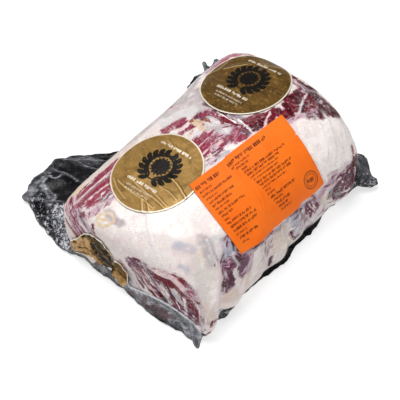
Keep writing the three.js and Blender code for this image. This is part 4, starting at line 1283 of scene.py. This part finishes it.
clear_at, bead = clear_rows()
spread = clear_at.reshape(-1, 3)
flat_spread = spread * [1, 1, 0]
milk = patches(spread, MILK, 0.0, 81)
milk = np.maximum(milk, patches(flat_spread, STRIPS, 0.0, 87, 1.5, 0.7))
milk = milk * (0.75 + 0.5 * noise(spread, (5, 18, 9), 82, 2))
# Fold crests are milky doubled film with a painted highlight.
milk = np.maximum(milk, CREST_MILK_AND_HIGHLIGHT * (fold_crest * room * rough).ravel())
net_crest = smooth((ridges(flat_spread, 6.5, 72, 4) - 0.72) / 0.2)
milk = np.maximum(milk, NET_CREST_MILK_AND_HIGHLIGHT * rough.ravel() * net_crest)
# Thin fold lines get a painted highlight.
for bright, half, path in FOLD_HIGHLIGHTS:
    gap = near_path(bent(flat_spread, 1.2, 12, 85), [(*q, 0) for q in path])[0]
    milk = np.maximum(milk, bright * np.exp(-((gap / half) ** 2)))
milk = np.maximum(milk, RIM_MILK * smooth((out_share - 0.95) / 0.05).ravel())
along_end = smooth((SEAM_HALF - np.abs(rows[:, :1, 1] - SEAM_MIDDLE)) / SEAM_FADE) * (rows[:, :1, 0] < -100)
# The bright seam is milky film with a painted highlight along its bead.
seam = (bead * along_end).ravel()
milk = np.maximum(milk, SEAM_MILK * seam)
stain = patches(spread, STAINS, 0.0, 86, 6) * smooth(noise(spread, 7, 84, 2) * 1.6 + 0.5)
border_values = {"milk": milk, "stain": stain, "seam": seam, "glint_flecks": glint_flecks.ravel()}
clear_border = make_mesh("clear_border", spread, [ring_quads(AROUND, ACROSS)], border_values)

# %% [markdown]
# ## Finish of the clear border
# The milky value of each point says how much of the film shows over the black sheet; on fold
# crests, fold lines and the seam's bead it is also a painted highlight. Noise breaks it up into
# streaks, flecked places get light flecks painted as glints, and juice has run under the skirt.

# %% The clear border's material
def border_finish():
    f = Finish("clear_border_film")
    here = f.place()
    fine = f.grain(here, 330.0, 3.0, 0.6, 1.0)
    long = f.grain(here, 120.0, 3.0, 0.6, 1.5)
    grainy = f.mix(f.attribute("glint_flecks"), (1, 1, 1), f.ramp(fine, 0.4, 0.6, 0.35, 1.3))
    cover = f.math("MULTIPLY", f.attribute("milk"), grainy)
    cover = f.math("MULTIPLY", cover, f.ramp(long, 0.3, 0.7, 0.7, 1.3))
    # Light flecks painted into colour and cover as glints.
    glint_flecks = f.attribute("glint_flecks")
    salt = f.math("MULTIPLY_ADD", glint_flecks, 0.12, f.grain(here, 260.0, 3.0, 0.6, 0.8))
    salt = f.math("MULTIPLY", f.ramp(salt, 0.6, 0.65, 0.0, 0.85), f.ramp(glint_flecks, 0.05, 0.25))
    cover = f.math("MAXIMUM", salt, cover)
    # The cover grows at glancing angles as a painted reflection.
    glance = f.math("POWER", f.node("LayerWeight", "Facing", None, Blend=0.5), 3.0)
    cover = f.math("MINIMUM", f.math("ADD", cover, f.math("MULTIPLY", glance, 0.02)), 0.95)
    colour = f.mix(f.ramp(long, 0.35, 0.65), linear(142, 143, 150), linear(178, 179, 186))
    colour = f.mix(f.math("MULTIPLY", salt, 0.8), colour, linear(222, 222, 230))
    colour = f.mix(f.attribute("stain"), colour, linear(84, 40, 54))
    # The seam's white is milky film and a painted highlight on its bead.
    colour = f.mix(f.attribute("seam"), colour, linear(232, 232, 238))
    f.principled(Base_Color=colour, Roughness=0.2, Specular_IOR_Level=0.6, Normal=f.bump(fine, 0.35, 0.001))
    f.see_through(cover)
    return f.material


clear_border.data.materials.append(border_finish())
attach(clear_border, "root")

# %% [markdown]
# ## Label paper
# A label is a thin closed slab: a grid of flat points (a, b) laid on the loaf, the same grid a
# paper's thickness lower, and a rim that joins them. Wrinkles lift it where the film below has
# shrunk. The print is a value for each point, 0 for bare paper and 1 for full ink.

# %% Slabs from flat grids
PAPER = 0.35
PAPER_GAP = 1.15


def grid_quads(across, up):
    """Quads of an up x across grid of points, row by row."""
    i, j = np.meshgrid(np.arange(across - 1), np.arange(up - 1))
    ring = [j * across + i, j * across + i + 1, (j + 1) * across + i + 1, (j + 1) * across + i]
    return np.stack(ring, -1).reshape(-1, 4)


def grid_rim(across, up):
    """The grid's border points, anticlockwise."""
    low = np.arange(across)
    right = np.arange(1, up) * across + across - 1
    top = up * across - 2 - np.arange(across - 1)
    left = (np.arange(up - 2, 0, -1)) * across
    return np.concatenate([low, right, top, left])


def slab(name, at, right, flat, across, up, lift, values):
    """A closed slab whose top is surface(d) + normal * (gap + thickness + lift)."""
    d, n = lay_on(at, right, flat)
    foot = surface(d)
    top = foot + n * (PAPER_GAP + PAPER + lift)[:, None]
    under = foot + n * (PAPER_GAP + lift)[:, None]
    count = len(flat)
    quad = grid_quads(across, up)
    rim = grid_rim(across, up)
    after = np.roll(rim, -1)
    side = np.stack([rim, rim + count, after + count, after], -1)
    both = {key: np.concatenate([value, value * 0]) for key, value in values.items()}
    points = np.vstack([top, under])
    return make_mesh(name, points, [quad, count + quad[:, ::-1], side], both, np.vstack([flat, flat]))


def disc_grid(radius, count):
    """A square grid drawn out to a disc: the ring max(|x|, |y|) = r becomes the circle of radius r."""
    x, y = np.meshgrid(np.linspace(-1, 1, count), np.linspace(-1, 1, count))
    ring = np.maximum(np.abs(x), np.abs(y))
    steep = np.abs(x) >= np.abs(y)
    safe_x = np.where(np.abs(x) < 1e-9, 1, x)
    safe_y = np.where(np.abs(y) < 1e-9, 1, y)
    quarter = np.pi / 4
    angle = np.where(steep, quarter * y / safe_x, 2 * quarter - quarter * x / safe_y)
    sign = np.where(steep, np.sign(x), np.sign(y))
    a = radius * ring * np.cos(angle) * sign
    b = radius * ring * np.sin(angle) * sign
    return np.stack([a, b], -1).reshape(-1, 2)


# %% [markdown]
# ## Marks for print
# From a step away small print is rows of short dark dashes. A row is a strip of boxes with random
# widths and gaps, from a seeded generator, in words of a few dashes. A box is 1 inside and fades
# over the pitch of the grid. The marks are plain boxes, rings and leaves.

# %% Print made of plain marks
def box_ink(x, y, x0, x1, y0, y1, soft):
    """1 inside the box from (x0, y0) to (x1, y1), fading to 0 over soft."""
    inside = np.minimum(np.minimum(x - x0, x1 - x), np.minimum(y - y0, y1 - y))
    return smooth(inside / soft + 0.5)


def dash_row(x, y, start, end, level, height, dash, random, soft=0.5):
    """A row of dashes from start to end at the height level; every few dashes leave a word space."""
    ink = np.zeros_like(x)
    near = np.abs(y - level) < height / 2 + soft
    at = start
    while at < end - dash:
        for _ in range(random.integers(2, 8)):
            wide = dash * random.uniform(0.55, 1.1)
            if at + wide > end:
                break
            drop = height * random.choice([0, 0, 0, 0.35, -0.35])
            low, high = level - height / 2 + max(drop, 0), level + height / 2 + min(drop, 0)
            marks = box_ink(x[near], y[near], at, at + wide, low, high, soft)
            ink[near] = np.maximum(ink[near], marks * random.uniform(0.8, 1))
            at += wide + dash * random.uniform(0.25, 0.4)
        at += dash * 0.8
    return ink


def leaf_ink(x, y, at, angle, length, wide, soft):
    """A pointed leaf from the place at: |across| < wide * sin(pi * share), with a bare vein and ribs."""
    dx, dy = x - at[0], y - at[1]
    along = (dx * np.cos(angle) + dy * np.sin(angle)) / length
    across = -dx * np.sin(angle) + dy * np.cos(angle)
    inside = smooth((wide * np.sin(np.pi * np.clip(along, 0, 1)) ** 0.75 - np.abs(across)) / soft + 0.5)
    vein = smooth((np.abs(across) + 0.1) / 0.5)
    rib = 0.88 + 0.12 * np.sin((along * length + np.abs(across)) * 3.2)
    return inside * vein * rib * (along > 0) * (along < 1)


def ornament(x, y, soft=0.6):
    """A wreath of leaf pairs, open at the top, round a rosette of two rings of pointed petals."""
    ink = np.zeros_like(x)
    for side in (-1, 1):
        for k in range(8):
            turn = np.pi * (-0.45 + 0.115 * k)
            at = (side * 17 * np.cos(turn), 17 * np.sin(turn))
            ahead = np.arctan2(np.cos(turn), -side * np.sin(turn))
            for lean_out in (-0.55, 0.6):
                leaf = leaf_ink(x, y, at, ahead - side * lean_out, 11.5 - 0.45 * k, 2.7, soft)
                ink = np.maximum(ink, leaf)
        stem = np.abs(np.hypot(x, y) - 17)
        ink = np.maximum(ink, smooth((0.5 - stem) / soft + 0.5) * (y < 11))
    for ring, length, wide in ((0.5, 10.5, 2.7), (0.0, 11.5, 1.3)):
        for k in range(8):
            turn = np.pi / 4 * (k + ring)
            ink = np.maximum(ink, leaf_ink(x, y, (np.cos(turn), np.sin(turn)), turn, length, wide, soft))
    return np.maximum(ink, smooth((2.2 - np.hypot(x, y)) / soft + 0.5))


# %% [markdown]
# ## The two round gold labels
# Satin gold-brown paper with a thin cream rim, a dark ornament in the middle and rows of small
# cream print beside it. The near label has long wrinkles that fan out over its lower half, where
# the film below it gathered.

# %% Gold labels on top
DISC_COUNT = 156
RIM_WIDTH = 1.4
ORNAMENT_UP = 6.0
GOLD_ROWS = [  # level, reach to each side, height, width of a dash, and strength
    (32.0, 22, 3.1, 2.1, 0.95),
    (-20.5, 22, 3.5, 2.3, 0.95),
    (-27.5, 18, 1.9, 1.2, 0.6),
    (-32.0, 16, 1.9, 1.2, 0.6),
]


def gold_ink(a, b, seed):
    """Cream rim and rows, and the dark ornament, as two values. Print runs along -b, with +a up."""
    random = np.random.default_rng(seed)
    radius = np.hypot(a, b)
    cream = smooth((radius - (ROUND_RADIUS - RIM_WIDTH)) / 0.5 + 0.5)
    for level, reach, height, dash, strength in GOLD_ROWS:
        row = dash_row(-b, a, -reach, reach, level, height, dash, random)
        cream = np.maximum(cream, strength * row)
    return cream, ornament(-b, a - ORNAMENT_UP)


NEAR_WRINKLES = [  # height, width and path on the near label: they fan out to its lower left rim
    (1.0, 1.5, [(2.6, -17), (0, -29), (-6.5, -40), (-10, -51)]),
    (0.6, 1.5, [(-13, -15), (-12, -27), (-16, -40)]),
    (0.9, 1.5, [(-21, 22), (-25, 7), (-26, -3), (-26, -15), (-27, -25), (-30, -37)]),
    (0.6, 1.4, [(-20, -9), (-23, -23), (-27, -38)]),
    (0.8, 1.4, [(-30, 28), (-33, 15), (-34, -1), (-35, -13), (-37, -26)]),
    (0.6, 1.4, [(-35, -9), (-45, -19)]),
    (0.6, 1.4, [(-33, -14), (-42, -26)]),
    (0.6, 1.4, [(-30, 34), (-36, 24), (-42, 8)]),
    (0.4, 2.0, [(36, 18), (32, 6), (34, -12)]),
]
FAR_WRINKLES = [
    (0.9, 5.0, [(6, 34), (24, 18)]),
    (0.5, 2.0, [(-10, 48), (2, 40), (20, 42)]),
    (0.4, 2.0, [(34, 8), (40, -14)]),
]
CREST_SIDE = 0.95  # the dark fold lies this far beside its crest
CREST_HALF = 0.75


def label_wrinkles(flat, wrinkles, seed, fine=0.12):
    """Lift from named wrinkles, height * exp(-(distance / width)^2), and a little noise."""
    p = np.concatenate([flat, np.zeros((len(flat), 1))], -1)
    lift = fine * noise(p, 9, seed + 2, 2) + fine
    p = bent(p, 1.4, 13, seed)
    for high, width, path in wrinkles:
        lift = lift + high * np.exp(-((near_path(p, [(*q, 0) for q in path])[0] / width) ** 2))
    return lift


def painted_ridge_light(flat, wrinkles, seed):
    """Two lines beside each wrinkle: 1 on its crest, for a painted highlight, and 1 in the fold on its right,
    for a painted shadow.
    """
    p = bent(np.concatenate([flat, np.zeros((len(flat), 1))], -1), 1.4, 13, seed)
    bright, dark = np.zeros(len(p)), np.zeros(len(p))
    for high, _, path in wrinkles:
        on_crest = near_path(p, [(*q, 0) for q in path])[0]
        beside = near_path(p - [CREST_SIDE, -CREST_SIDE, 0], [(*q, 0) for q in path])[0]
        bright = np.maximum(bright, high * np.exp(-((on_crest / CREST_HALF) ** 2)))
        dark = np.maximum(dark, high * np.exp(-((beside / CREST_HALF) ** 2)))
    return bright, dark


def gold_label(name, at, seed, wrinkles):
    flat = disc_grid(ROUND_RADIUS, DISC_COUNT)
    cream, dark = gold_ink(flat[:, 0], flat[:, 1], seed)
    lift = label_wrinkles(flat, wrinkles, seed)
    crest, fold = painted_ridge_light(flat, wrinkles, seed)
    values = {"cream": cream, "dark": dark, "crest": crest, "fold": fold}
    return slab(name, at, (1, 0, 0), flat, DISC_COUNT, DISC_COUNT, lift, values)


gold_front = gold_label("gold_front", LABEL_FRONT_AT, 101, NEAR_WRINKLES)
gold_back = gold_label("gold_back", LABEL_BACK_AT, 102, FAR_WRINKLES)

# %% [markdown]
# ## Finish of the gold labels
# Gold-brown ink with a satin sheen: partly metallic, with cloudy shifts of tone as the paper
# bends. Folded paper gets a painted highlight on its crests and a painted shadow beside them.

# %% Gold label material
def gold_finish(name, gold, deep, metal=0.25, rough=0.4):
    f = Finish(name)
    here = f.place()
    cloud = f.grain(here, 48.0, 4.0, 0.6, 0.8)
    speck = f.grain(here, 520.0, 2.0, 0.6)
    field = f.mix(f.ramp(cloud, 0.35, 0.7), gold, deep)
    field = f.mix(f.ramp(speck, 0.5, 0.8, 0.0, 0.3), field, linear(196, 156, 92))
    brushed = f.grain(f.place((1.0, 0.35, 1.0)), 300.0, 4.0, 0.7, 0.8)
    field = f.mix(f.ramp(brushed, 0.34, 0.5, 0.55, 0.0), field, (0.62, 0.6, 0.5), "MULTIPLY")
    field = f.mix(f.ramp(brushed, 0.54, 0.68, 0.0, 0.35), field, linear(206, 164, 104))
    # Painted shadow in the folds and painted highlight on the crests.
    field = f.mix(f.math("MULTIPLY", f.attribute("fold"), 0.75), field, linear(70, 46, 14))
    field = f.mix(f.math("MULTIPLY", f.attribute("crest"), 0.85), field, linear(226, 190, 128))
    field = f.mix(f.ramp(f.attribute("dark"), 0.1, 0.5), field, linear(14, 10, 6))
    colour = f.mix(f.attribute("cream"), field, linear(240, 228, 208))
    f.principled(Base_Color=colour, Normal=f.bump(cloud, 0.25, 0.0015), Specular_IOR_Level=0.25)
    f.principled(Metallic=metal, Roughness=rough, Coat_Weight=0.06, Coat_Roughness=0.2)
    return f.material


gold_near = gold_finish("gold_paper_near", linear(162, 126, 68), linear(128, 96, 44))
# The far label is the same gold paper as the near one, painted darker as painted shade.
gold_far_shaded = gold_finish("gold_paper_far_shaded", linear(106, 76, 26), linear(80, 55, 16))
gold_pairs = ((gold_front, "gold_label_front", gold_near), (gold_back, "gold_label_back", gold_far_shaded))
for piece, node, material in gold_pairs:
    piece.data.materials.append(material)
    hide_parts(node)
    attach(piece, "root")

# %% [markdown]
# ## The crumpled gold label
# The third round label sits on the lower left corner, where the film gathered as the air went
# out. It shows only above the line where it is folded under, and it is crushed into sharp folds
# that run along the end of the pack.

# %% Crumpled label
END_ACROSS, END_UP = 190, 110
END_SPAN = (-38, 49.5)
END_TOP = [  # upper edge of the label in its own plane, with a gap at 30 before the rolled part
    (-38, -8), (-36, -4), (-30, 10), (-19, 24), (-15, 33), (-10, 40), (0, 47), (7, 49), (14, 47.5),
    (19, 44), (25, 39), (28, 31), (29, 17), (31, 17), (31.5, 29), (39, 27), (46, 16.5), (49.5, 6),
]
END_BOTTOM = [
    (-38, -10), (-28, -12), (-15, -4), (-5, 1), (2, 1), (6, -2), (13, -2), (23, 5), (27, 10),
    (28, 5), (28.5, -11), (39.5, -13), (44.5, -5), (49.5, 4),
]
END_FOLDS = [  # height, width, path in the label's own plane
    (2.6, 5.0, [(-12, 36), (-7, 29), (-3, 20), (-2, 12)]),
    (2.4, 4.0, [(-32, -9), (-18, 5), (-7, 9)]),
    (2.6, 6.0, [(-28, 4), (-17, 20), (-10, 30)]),
    (2.2, 3.0, [(-18, 12), (-10, 17), (-3, 22)]),
    (1.8, 3.0, [(-28, -11), (-15, -2), (-4, 3)]),
    (2.4, 6.0, [(4, 42), (14, 33), (24, 24)]),
    (2.2, 5.0, [(2, 26), (12, 18), (22, 14)]),
    (1.8, 3.0, [(2, 4), (10, 2), (20, 6)]),
    (4.2, 4.6, [(28, 8), (35, 1), (42, -7)]),
    (2.6, 3.6, [(31, 24), (38, 18), (48, 7)]),
]
END_DARK = [  # how dark, half width, path of a shadowed crease
    (1.0, 1.1, [(-19, 8), (-12, 13), (-3, 17)]),
    (1.0, 1.1, [(-16, 2), (-7, 6), (-2, 9)]),
    (0.9, 1.6, [(-13, 34), (-8, 37)]),
    (0.9, 1.0, [(-26, 12), (-20, 16)]),
    (1.0, 1.4, [(3, 10), (7, 8), (12, 6)]),
    (1.0, 2.2, [(9, -2), (17, 2), (25, 9)]),
    (1.0, 1.4, [(27, 14), (35, 10), (43, 5)]),
    (0.8, 1.0, [(31, 20), (38, 14), (46, 7)]),
    (0.9, 3.4, [(1, 20), (3, 13)]),
    (0.7, 1.6, [(-28, -10), (-16, -2), (-6, 2)]),
]
END_DENT = 2.0  # how deep the dark creases are pressed in
END_WORN = [  # how worn to dark olive, half width, path
    (1.0, 11, [(3, 42, 0), (12, 36, 0), (20, 28, 0)]),
    (1.0, 11, [(8, 26, 0), (14, 18, 0), (20, 12, 0)]),
    (0.8, 4, [(34, 22, 0), (44, 10, 0)]),
]


def marks(points, rows_of_marks):
    """The greatest of value * exp(-(distance / half width)^4) over the marks at each point."""
    value = np.zeros(len(points))
    for amount, half, path in rows_of_marks:
        gap = near_path(points, [(*q, 0) for q in path])[0]
        value = np.maximum(value, amount * np.exp(-((gap / half) ** 4)))
    return value


def end_label():
    """The strip between the lower and the crushed upper edge, with straight-sided folds and dark creases."""
    s, t = np.meshgrid(np.linspace(0, 1, END_ACROSS), np.linspace(0, 1, END_UP))
    a = END_SPAN[0] + (END_SPAN[1] - END_SPAN[0]) * s
    ragged = 0.6 * noise(np.stack([a, 0 * a, 0 * a], -1), 4, 119)
    top = np.interp(a, *zip(*END_TOP)) + ragged
    low = np.interp(a, *zip(*END_BOTTOM)) - ragged
    b = low + t * np.maximum(top - low, 1.5)
    flat = np.stack([a, b], -1).reshape(-1, 2)
    lift, crest = crumple(flat[:, 0], flat[:, 1], END_FOLDS)
    p = np.concatenate([flat, np.zeros((len(flat), 1))], -1)
    small = ridges(p, (16, 9, 9), 121, 3)
    tiny = ridges(p, (9, 4, 4), 122, 3)
    lift = 0.4 + lift + 0.9 * (small - 0.3) + 0.6 * (tiny - 0.3)
    crooked = bent(p, 0.8, 7, 123)
    dark = marks(crooked, END_DARK)
    hole = (a.ravel() > 14) & (a.ravel() < 28)
    rim = smooth((b.ravel() - top.ravel() + 1.5) / 0.8 + 0.5)
    rim = np.maximum(rim, smooth((low.ravel() - b.ravel() + 1.0) / 0.8 + 0.5) * ~hole)
    values = {"cream": rim, "dark": dark * (1 - rim), "worn": patches(p, END_WORN, 0.0, 124, 3, 2)}
    lift = np.maximum(lift - END_DENT * dark, -0.2)
    return slab("gold_end", LABEL_END_AT, (0, -1, 0), flat, END_ACROSS, END_UP, lift, values)


def end_finish():
    f = Finish("gold_paper_end")
    streak = f.grain(f.place((1.0, 0.5, 0.5)), 420.0, 4.0, 0.7, 0.6)
    cloud = f.grain(f.place(), 90.0, 3.0, 0.6, 0.8)
    gold = f.mix(f.ramp(cloud, 0.35, 0.65), linear(206, 166, 108), linear(150, 108, 56))
    gold = f.mix(f.ramp(streak, 0.52, 0.64, 0.0, 0.5), gold, linear(104, 74, 36))
    olive = f.mix(f.ramp(streak, 0.5, 0.62), linear(36, 25, 6), linear(138, 104, 46))
    field = f.mix(f.attribute("worn"), gold, olive)
    # Painted shadow in the creases.
    field = f.mix(f.attribute("dark"), field, linear(16, 10, 6))
    colour = f.mix(f.attribute("cream"), field, linear(244, 236, 220))
    f.principled(Base_Color=colour, Normal=f.bump(streak, 0.3, 0.001), Specular_IOR_Level=0.12)
    f.principled(Metallic=0.1, Roughness=0.3)
    return f.material


gold_end = end_label()
gold_end.data.materials.append(end_finish())
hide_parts("gold_label_end")
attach(gold_end, "root")

# %% [markdown]
# ## The orange label
# A bright orange matt label lies over the front shoulder, with one corner on the near gold
# label. It has a long crease from its upper to its lower edge, where it was pushed together by a
# millimetre, a smaller one beside it, a nick in its right edge, two columns of small dark print
# under two heavier rows, and a round stamp.

# %% Orange label
ORANGE_ACROSS, ORANGE_UP = 236, 165
OVERLAP = {"rise": 1.1, "reach": 12, "slope": 9}
CREASE_AT = (-15.5, -19)  # along the label at its upper and lower edge
CREASE_SHIFT = 1.3
BOWED = 3.5  # the label bows toward the left end by this much at its middle height
BELLY = 3.5  # its lower edge hangs lower in the middle
NICK = {"b": 19, "half": 1.6, "deep": 2.2}
STAMP = {"a": 50.5, "b": -29, "radius": 9.3}
ORANGE_WRINKLES = [  # height, width and path on the orange label
    (0.9, 1.5, [(-15.5, 45), (-17, 10), (-16, -10), (-19, -45)]),
    (0.6, 1.3, [(-9, 6), (-11, -10), (-14, -24)]),
    (0.5, 1.6, [(12, -14), (20, -30), (22, -45)]),
    (0.45, 1.6, [(26, -10), (32, -26), (30, -40)]),
    (0.4, 2.0, [(20, 44), (28, 20), (24, 6)]),
]
PRINT_ROWS = [  # start, end, level and height of each row of marks on the orange label
    (-61, -28, 35.5, 4.2), (-60, -44, 29.5, 1.8), (-60, -22, 25, 2.6), (-59, -45, 20.3, 1.8),
    (-59, -26, 16, 2.5), (-58, -32, 11.4, 2.6), (-58, -40, 7, 1.9), (-58, -23, 2.4, 2.6),
    (-57, -42, -2, 2.5), (-57, -50, -6.5, 1.9), (-57, -26, -11, 2.6), (-56, -23, -15.6, 2.5),
    (-56, -24, -20.2, 2.6), (-56, -42, -25, 2.0), (-55, -30, -29.5, 2.6), (-55, -46, -34.5, 2.2),
    (-20, 33, 35.5, 4.2), (-19, 6, 30.2, 2.0), (-14, 2, 26.2, 2.6), (-10, -3, 22.2, 2.2),
    (-10, 46, 18.4, 2.6), (-9, 36, 14.6, 2.6), (-8, 31, 10.8, 1.9), (-7, 28, 7, 1.9),
    (-6, 44, 3, 2.6), (-5, 40, -0.8, 2.6), (-4, 30, -4.8, 1.8), (-3, 4, -8.8, 2.4),
    (-3, 8, -12.6, 1.9), (-2, 34, -16.6, 2.6), (-1, 12, -20.8, 1.9), (0, 22, -25, 2.6),
    (1, 15, -29, 2.4), (2, 18, -33, 2.2),
]


def orange_ink(a, b, random):
    """Two columns of rows under two heavy ones, and a stamp of rings with a bar across it."""
    ink = np.zeros_like(a)
    for start, end, level, height in PRINT_ROWS:
        ink = np.maximum(ink, dash_row(a, b, start, end, level, height, 0.75 * height**0.6, random))
    x, y = a - STAMP["a"], b - STAMP["b"]
    radius = np.hypot(x, y)
    for ring, wide in ((STAMP["radius"], 0.5), (STAMP["radius"] * 0.66, 0.3)):
        ink = np.maximum(ink, 0.8 * smooth((wide - np.abs(radius - ring)) / 0.5 + 0.5))
    ink = np.maximum(ink, 0.95 * dash_row(x, y, -5.0, 5.0, 0, 5.0, 2.0, random))
    angle = np.arctan2(y, x)
    ticks = (np.abs(radius - STAMP["radius"] * 0.83) < 0.8) * smooth(np.cos(angle * 22) * 2)
    return np.maximum(ink, 0.6 * ticks)


def orange_label():
    s, t = np.meshgrid(np.linspace(-0.5, 0.5, ORANGE_ACROSS), np.linspace(-0.5, 0.5, ORANGE_UP))
    a, b = ORANGE["width"] * s, ORANGE["height"] * t
    nick = NICK["deep"] * smooth(1 - np.abs(b - NICK["b"]) / NICK["half"]) * smooth((s - 0.44) / 0.06)
    flat = np.stack([a - nick, b], -1).reshape(-1, 2)
    ink = orange_ink(flat[:, 0], flat[:, 1], np.random.default_rng(202))
    crease = CREASE_AT[1] + (CREASE_AT[0] - CREASE_AT[1]) * (flat[:, 1] / ORANGE["height"] + 0.5)
    lift = label_wrinkles(flat, ORANGE_WRINKLES, 211, 0.1)
    pushed = CREASE_SHIFT * smooth((crease - flat[:, 0]) / 2 + 0.5)
    bow = BOWED * (1 - (2 * t.ravel()) ** 2)
    belly = BELLY * np.clip(-2 * t.ravel(), 0, 1) ** 2 * (1 - (2 * s.ravel()) ** 2)
    shifted = flat - np.stack([bow, pushed + belly], -1)
    right = (np.cos(ORANGE["turn"]), np.sin(ORANGE["turn"]), 0)
    d, _ = lay_on(ORANGE["at"], right, shifted)
    past = ROUND_RADIUS + OVERLAP["reach"] - np.linalg.norm(surface(d) - np.array(LABEL_FRONT_AT), axis=-1)
    lift = lift + OVERLAP["rise"] * smooth(past / OVERLAP["slope"])
    return slab("orange_paper", ORANGE["at"], right, shifted, ORANGE_ACROSS, ORANGE_UP, lift, {"ink": ink})


orange = orange_label()


def orange_finish():
    f = Finish("orange_paper")
    cloud = f.grain(f.place(), 30.0, 3.0, 0.55)
    fine = f.grain(f.place(), 700.0, 2.0, 0.6)
    field = f.mix(f.ramp(cloud, 0.35, 0.7), linear(247, 117, 27), linear(241, 107, 19))
    field = f.mix(f.ramp(fine, 0.5, 0.8, 0.0, 0.15), field, linear(250, 130, 44))
    colour = f.mix(f.attribute("ink"), field, linear(62, 20, 8))
    f.principled(Base_Color=colour, Roughness=0.6, Specular_IOR_Level=0.15, Normal=f.bump(fine, 0.12, 0.0005))
    return f.material


orange.data.materials.append(orange_finish())
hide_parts("orange_label")
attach(orange, "root")

# %% [markdown]
# ## Floor, light and camera
# A pale floor and large soft lights suit a wet, glossy subject: small lights would burn hard
# spots into the film. The key light is overhead and a little behind, so the wrinkles catch it.
# The camera stands where the photograph was taken from.

# %% Stage
FLOOR_HALF = 3000.0
CAMERA = {"azimuth": -48.7, "elevation": 53.63, "target": (-22.4, 4.7, 45), "distance": 1178.0}
PIXELS_PER_MM = 0.931
FRAME_PIXELS = 400
SENSOR = 36.0
SKY_COLOUR = (0.95, 0.97, 1.0, 1)
SKY_STRENGTH = 0.22
FLOOR_GREY = 0.55
FLOOR_GLOW = 0.62  # the floor shines a little, so that the shadow on it stays faint


def make_floor():
    corner = np.array([(-1, -1, 0), (1, -1, 0), (1, 1, 0), (-1, 1, 0)], float) * FLOOR_HALF
    floor = make_mesh("floor", corner, [np.array([[0, 1, 2, 3]])])
    f = Finish("pale_floor")
    f.principled(Base_Color=(FLOOR_GREY,) * 3, Roughness=0.9, Specular_IOR_Level=0.1)
    f.principled(Emission_Color=(1, 1, 1), Emission_Strength=FLOOR_GLOW)
    floor.data.materials.append(f.material)


def soft_light(name, at, aim, size, power, colour=(1, 1, 1)):
    """A square area light at a place, in millimetres, turned to face aim."""
    light = bpy.data.lights.new(name, "AREA")
    light.energy = power
    light.size = size * MM
    light.color = colour
    lamp = bpy.data.objects.new(name, light)
    lamp.location = Vector(at) * MM
    lamp.rotation_euler = (Vector(aim) - Vector(at)).to_track_quat("-Z", "Y").to_euler()
    bpy.context.scene.collection.objects.link(lamp)


def make_camera():
    """Azimuth 0 looks along +Y; the field of view makes the photograph's scale at the target."""
    a, e = np.radians(CAMERA["azimuth"]), np.radians(CAMERA["elevation"])
    look = Vector((-np.sin(a) * np.cos(e), np.cos(a) * np.cos(e), -np.sin(e)))
    data = bpy.data.cameras.new("camera")
    data.sensor_width = SENSOR
    data.lens = SENSOR * CAMERA["distance"] * PIXELS_PER_MM / FRAME_PIXELS
    camera = bpy.data.objects.new("camera", data)
    camera.location = (Vector(CAMERA["target"]) - look * CAMERA["distance"]) * MM
    right = Vector((np.cos(a), np.sin(a), 0))
    turn = Matrix((right, right.cross(look), -look)).transposed()
    camera.rotation_euler = turn.to_euler()
    bpy.context.scene.collection.objects.link(camera)
    bpy.context.scene.camera = camera
    print("lens", round(data.lens, 1), "mm")


make_floor()
make_camera()
world = bpy.data.worlds.new("studio")
bpy.context.scene.world = world
world.use_nodes = True
world.node_tree.nodes["Background"].inputs[0].default_value = SKY_COLOUR
world.node_tree.nodes["Background"].inputs[1].default_value = SKY_STRENGTH
soft_light("key", (-80, 300, 1500), (0, 0, 60), 900, 22)
soft_light("fill", (-450, -1050, 900), (0, 0, 50), 900, 3.8)
bpy.context.scene.view_settings.view_transform = "Standard"
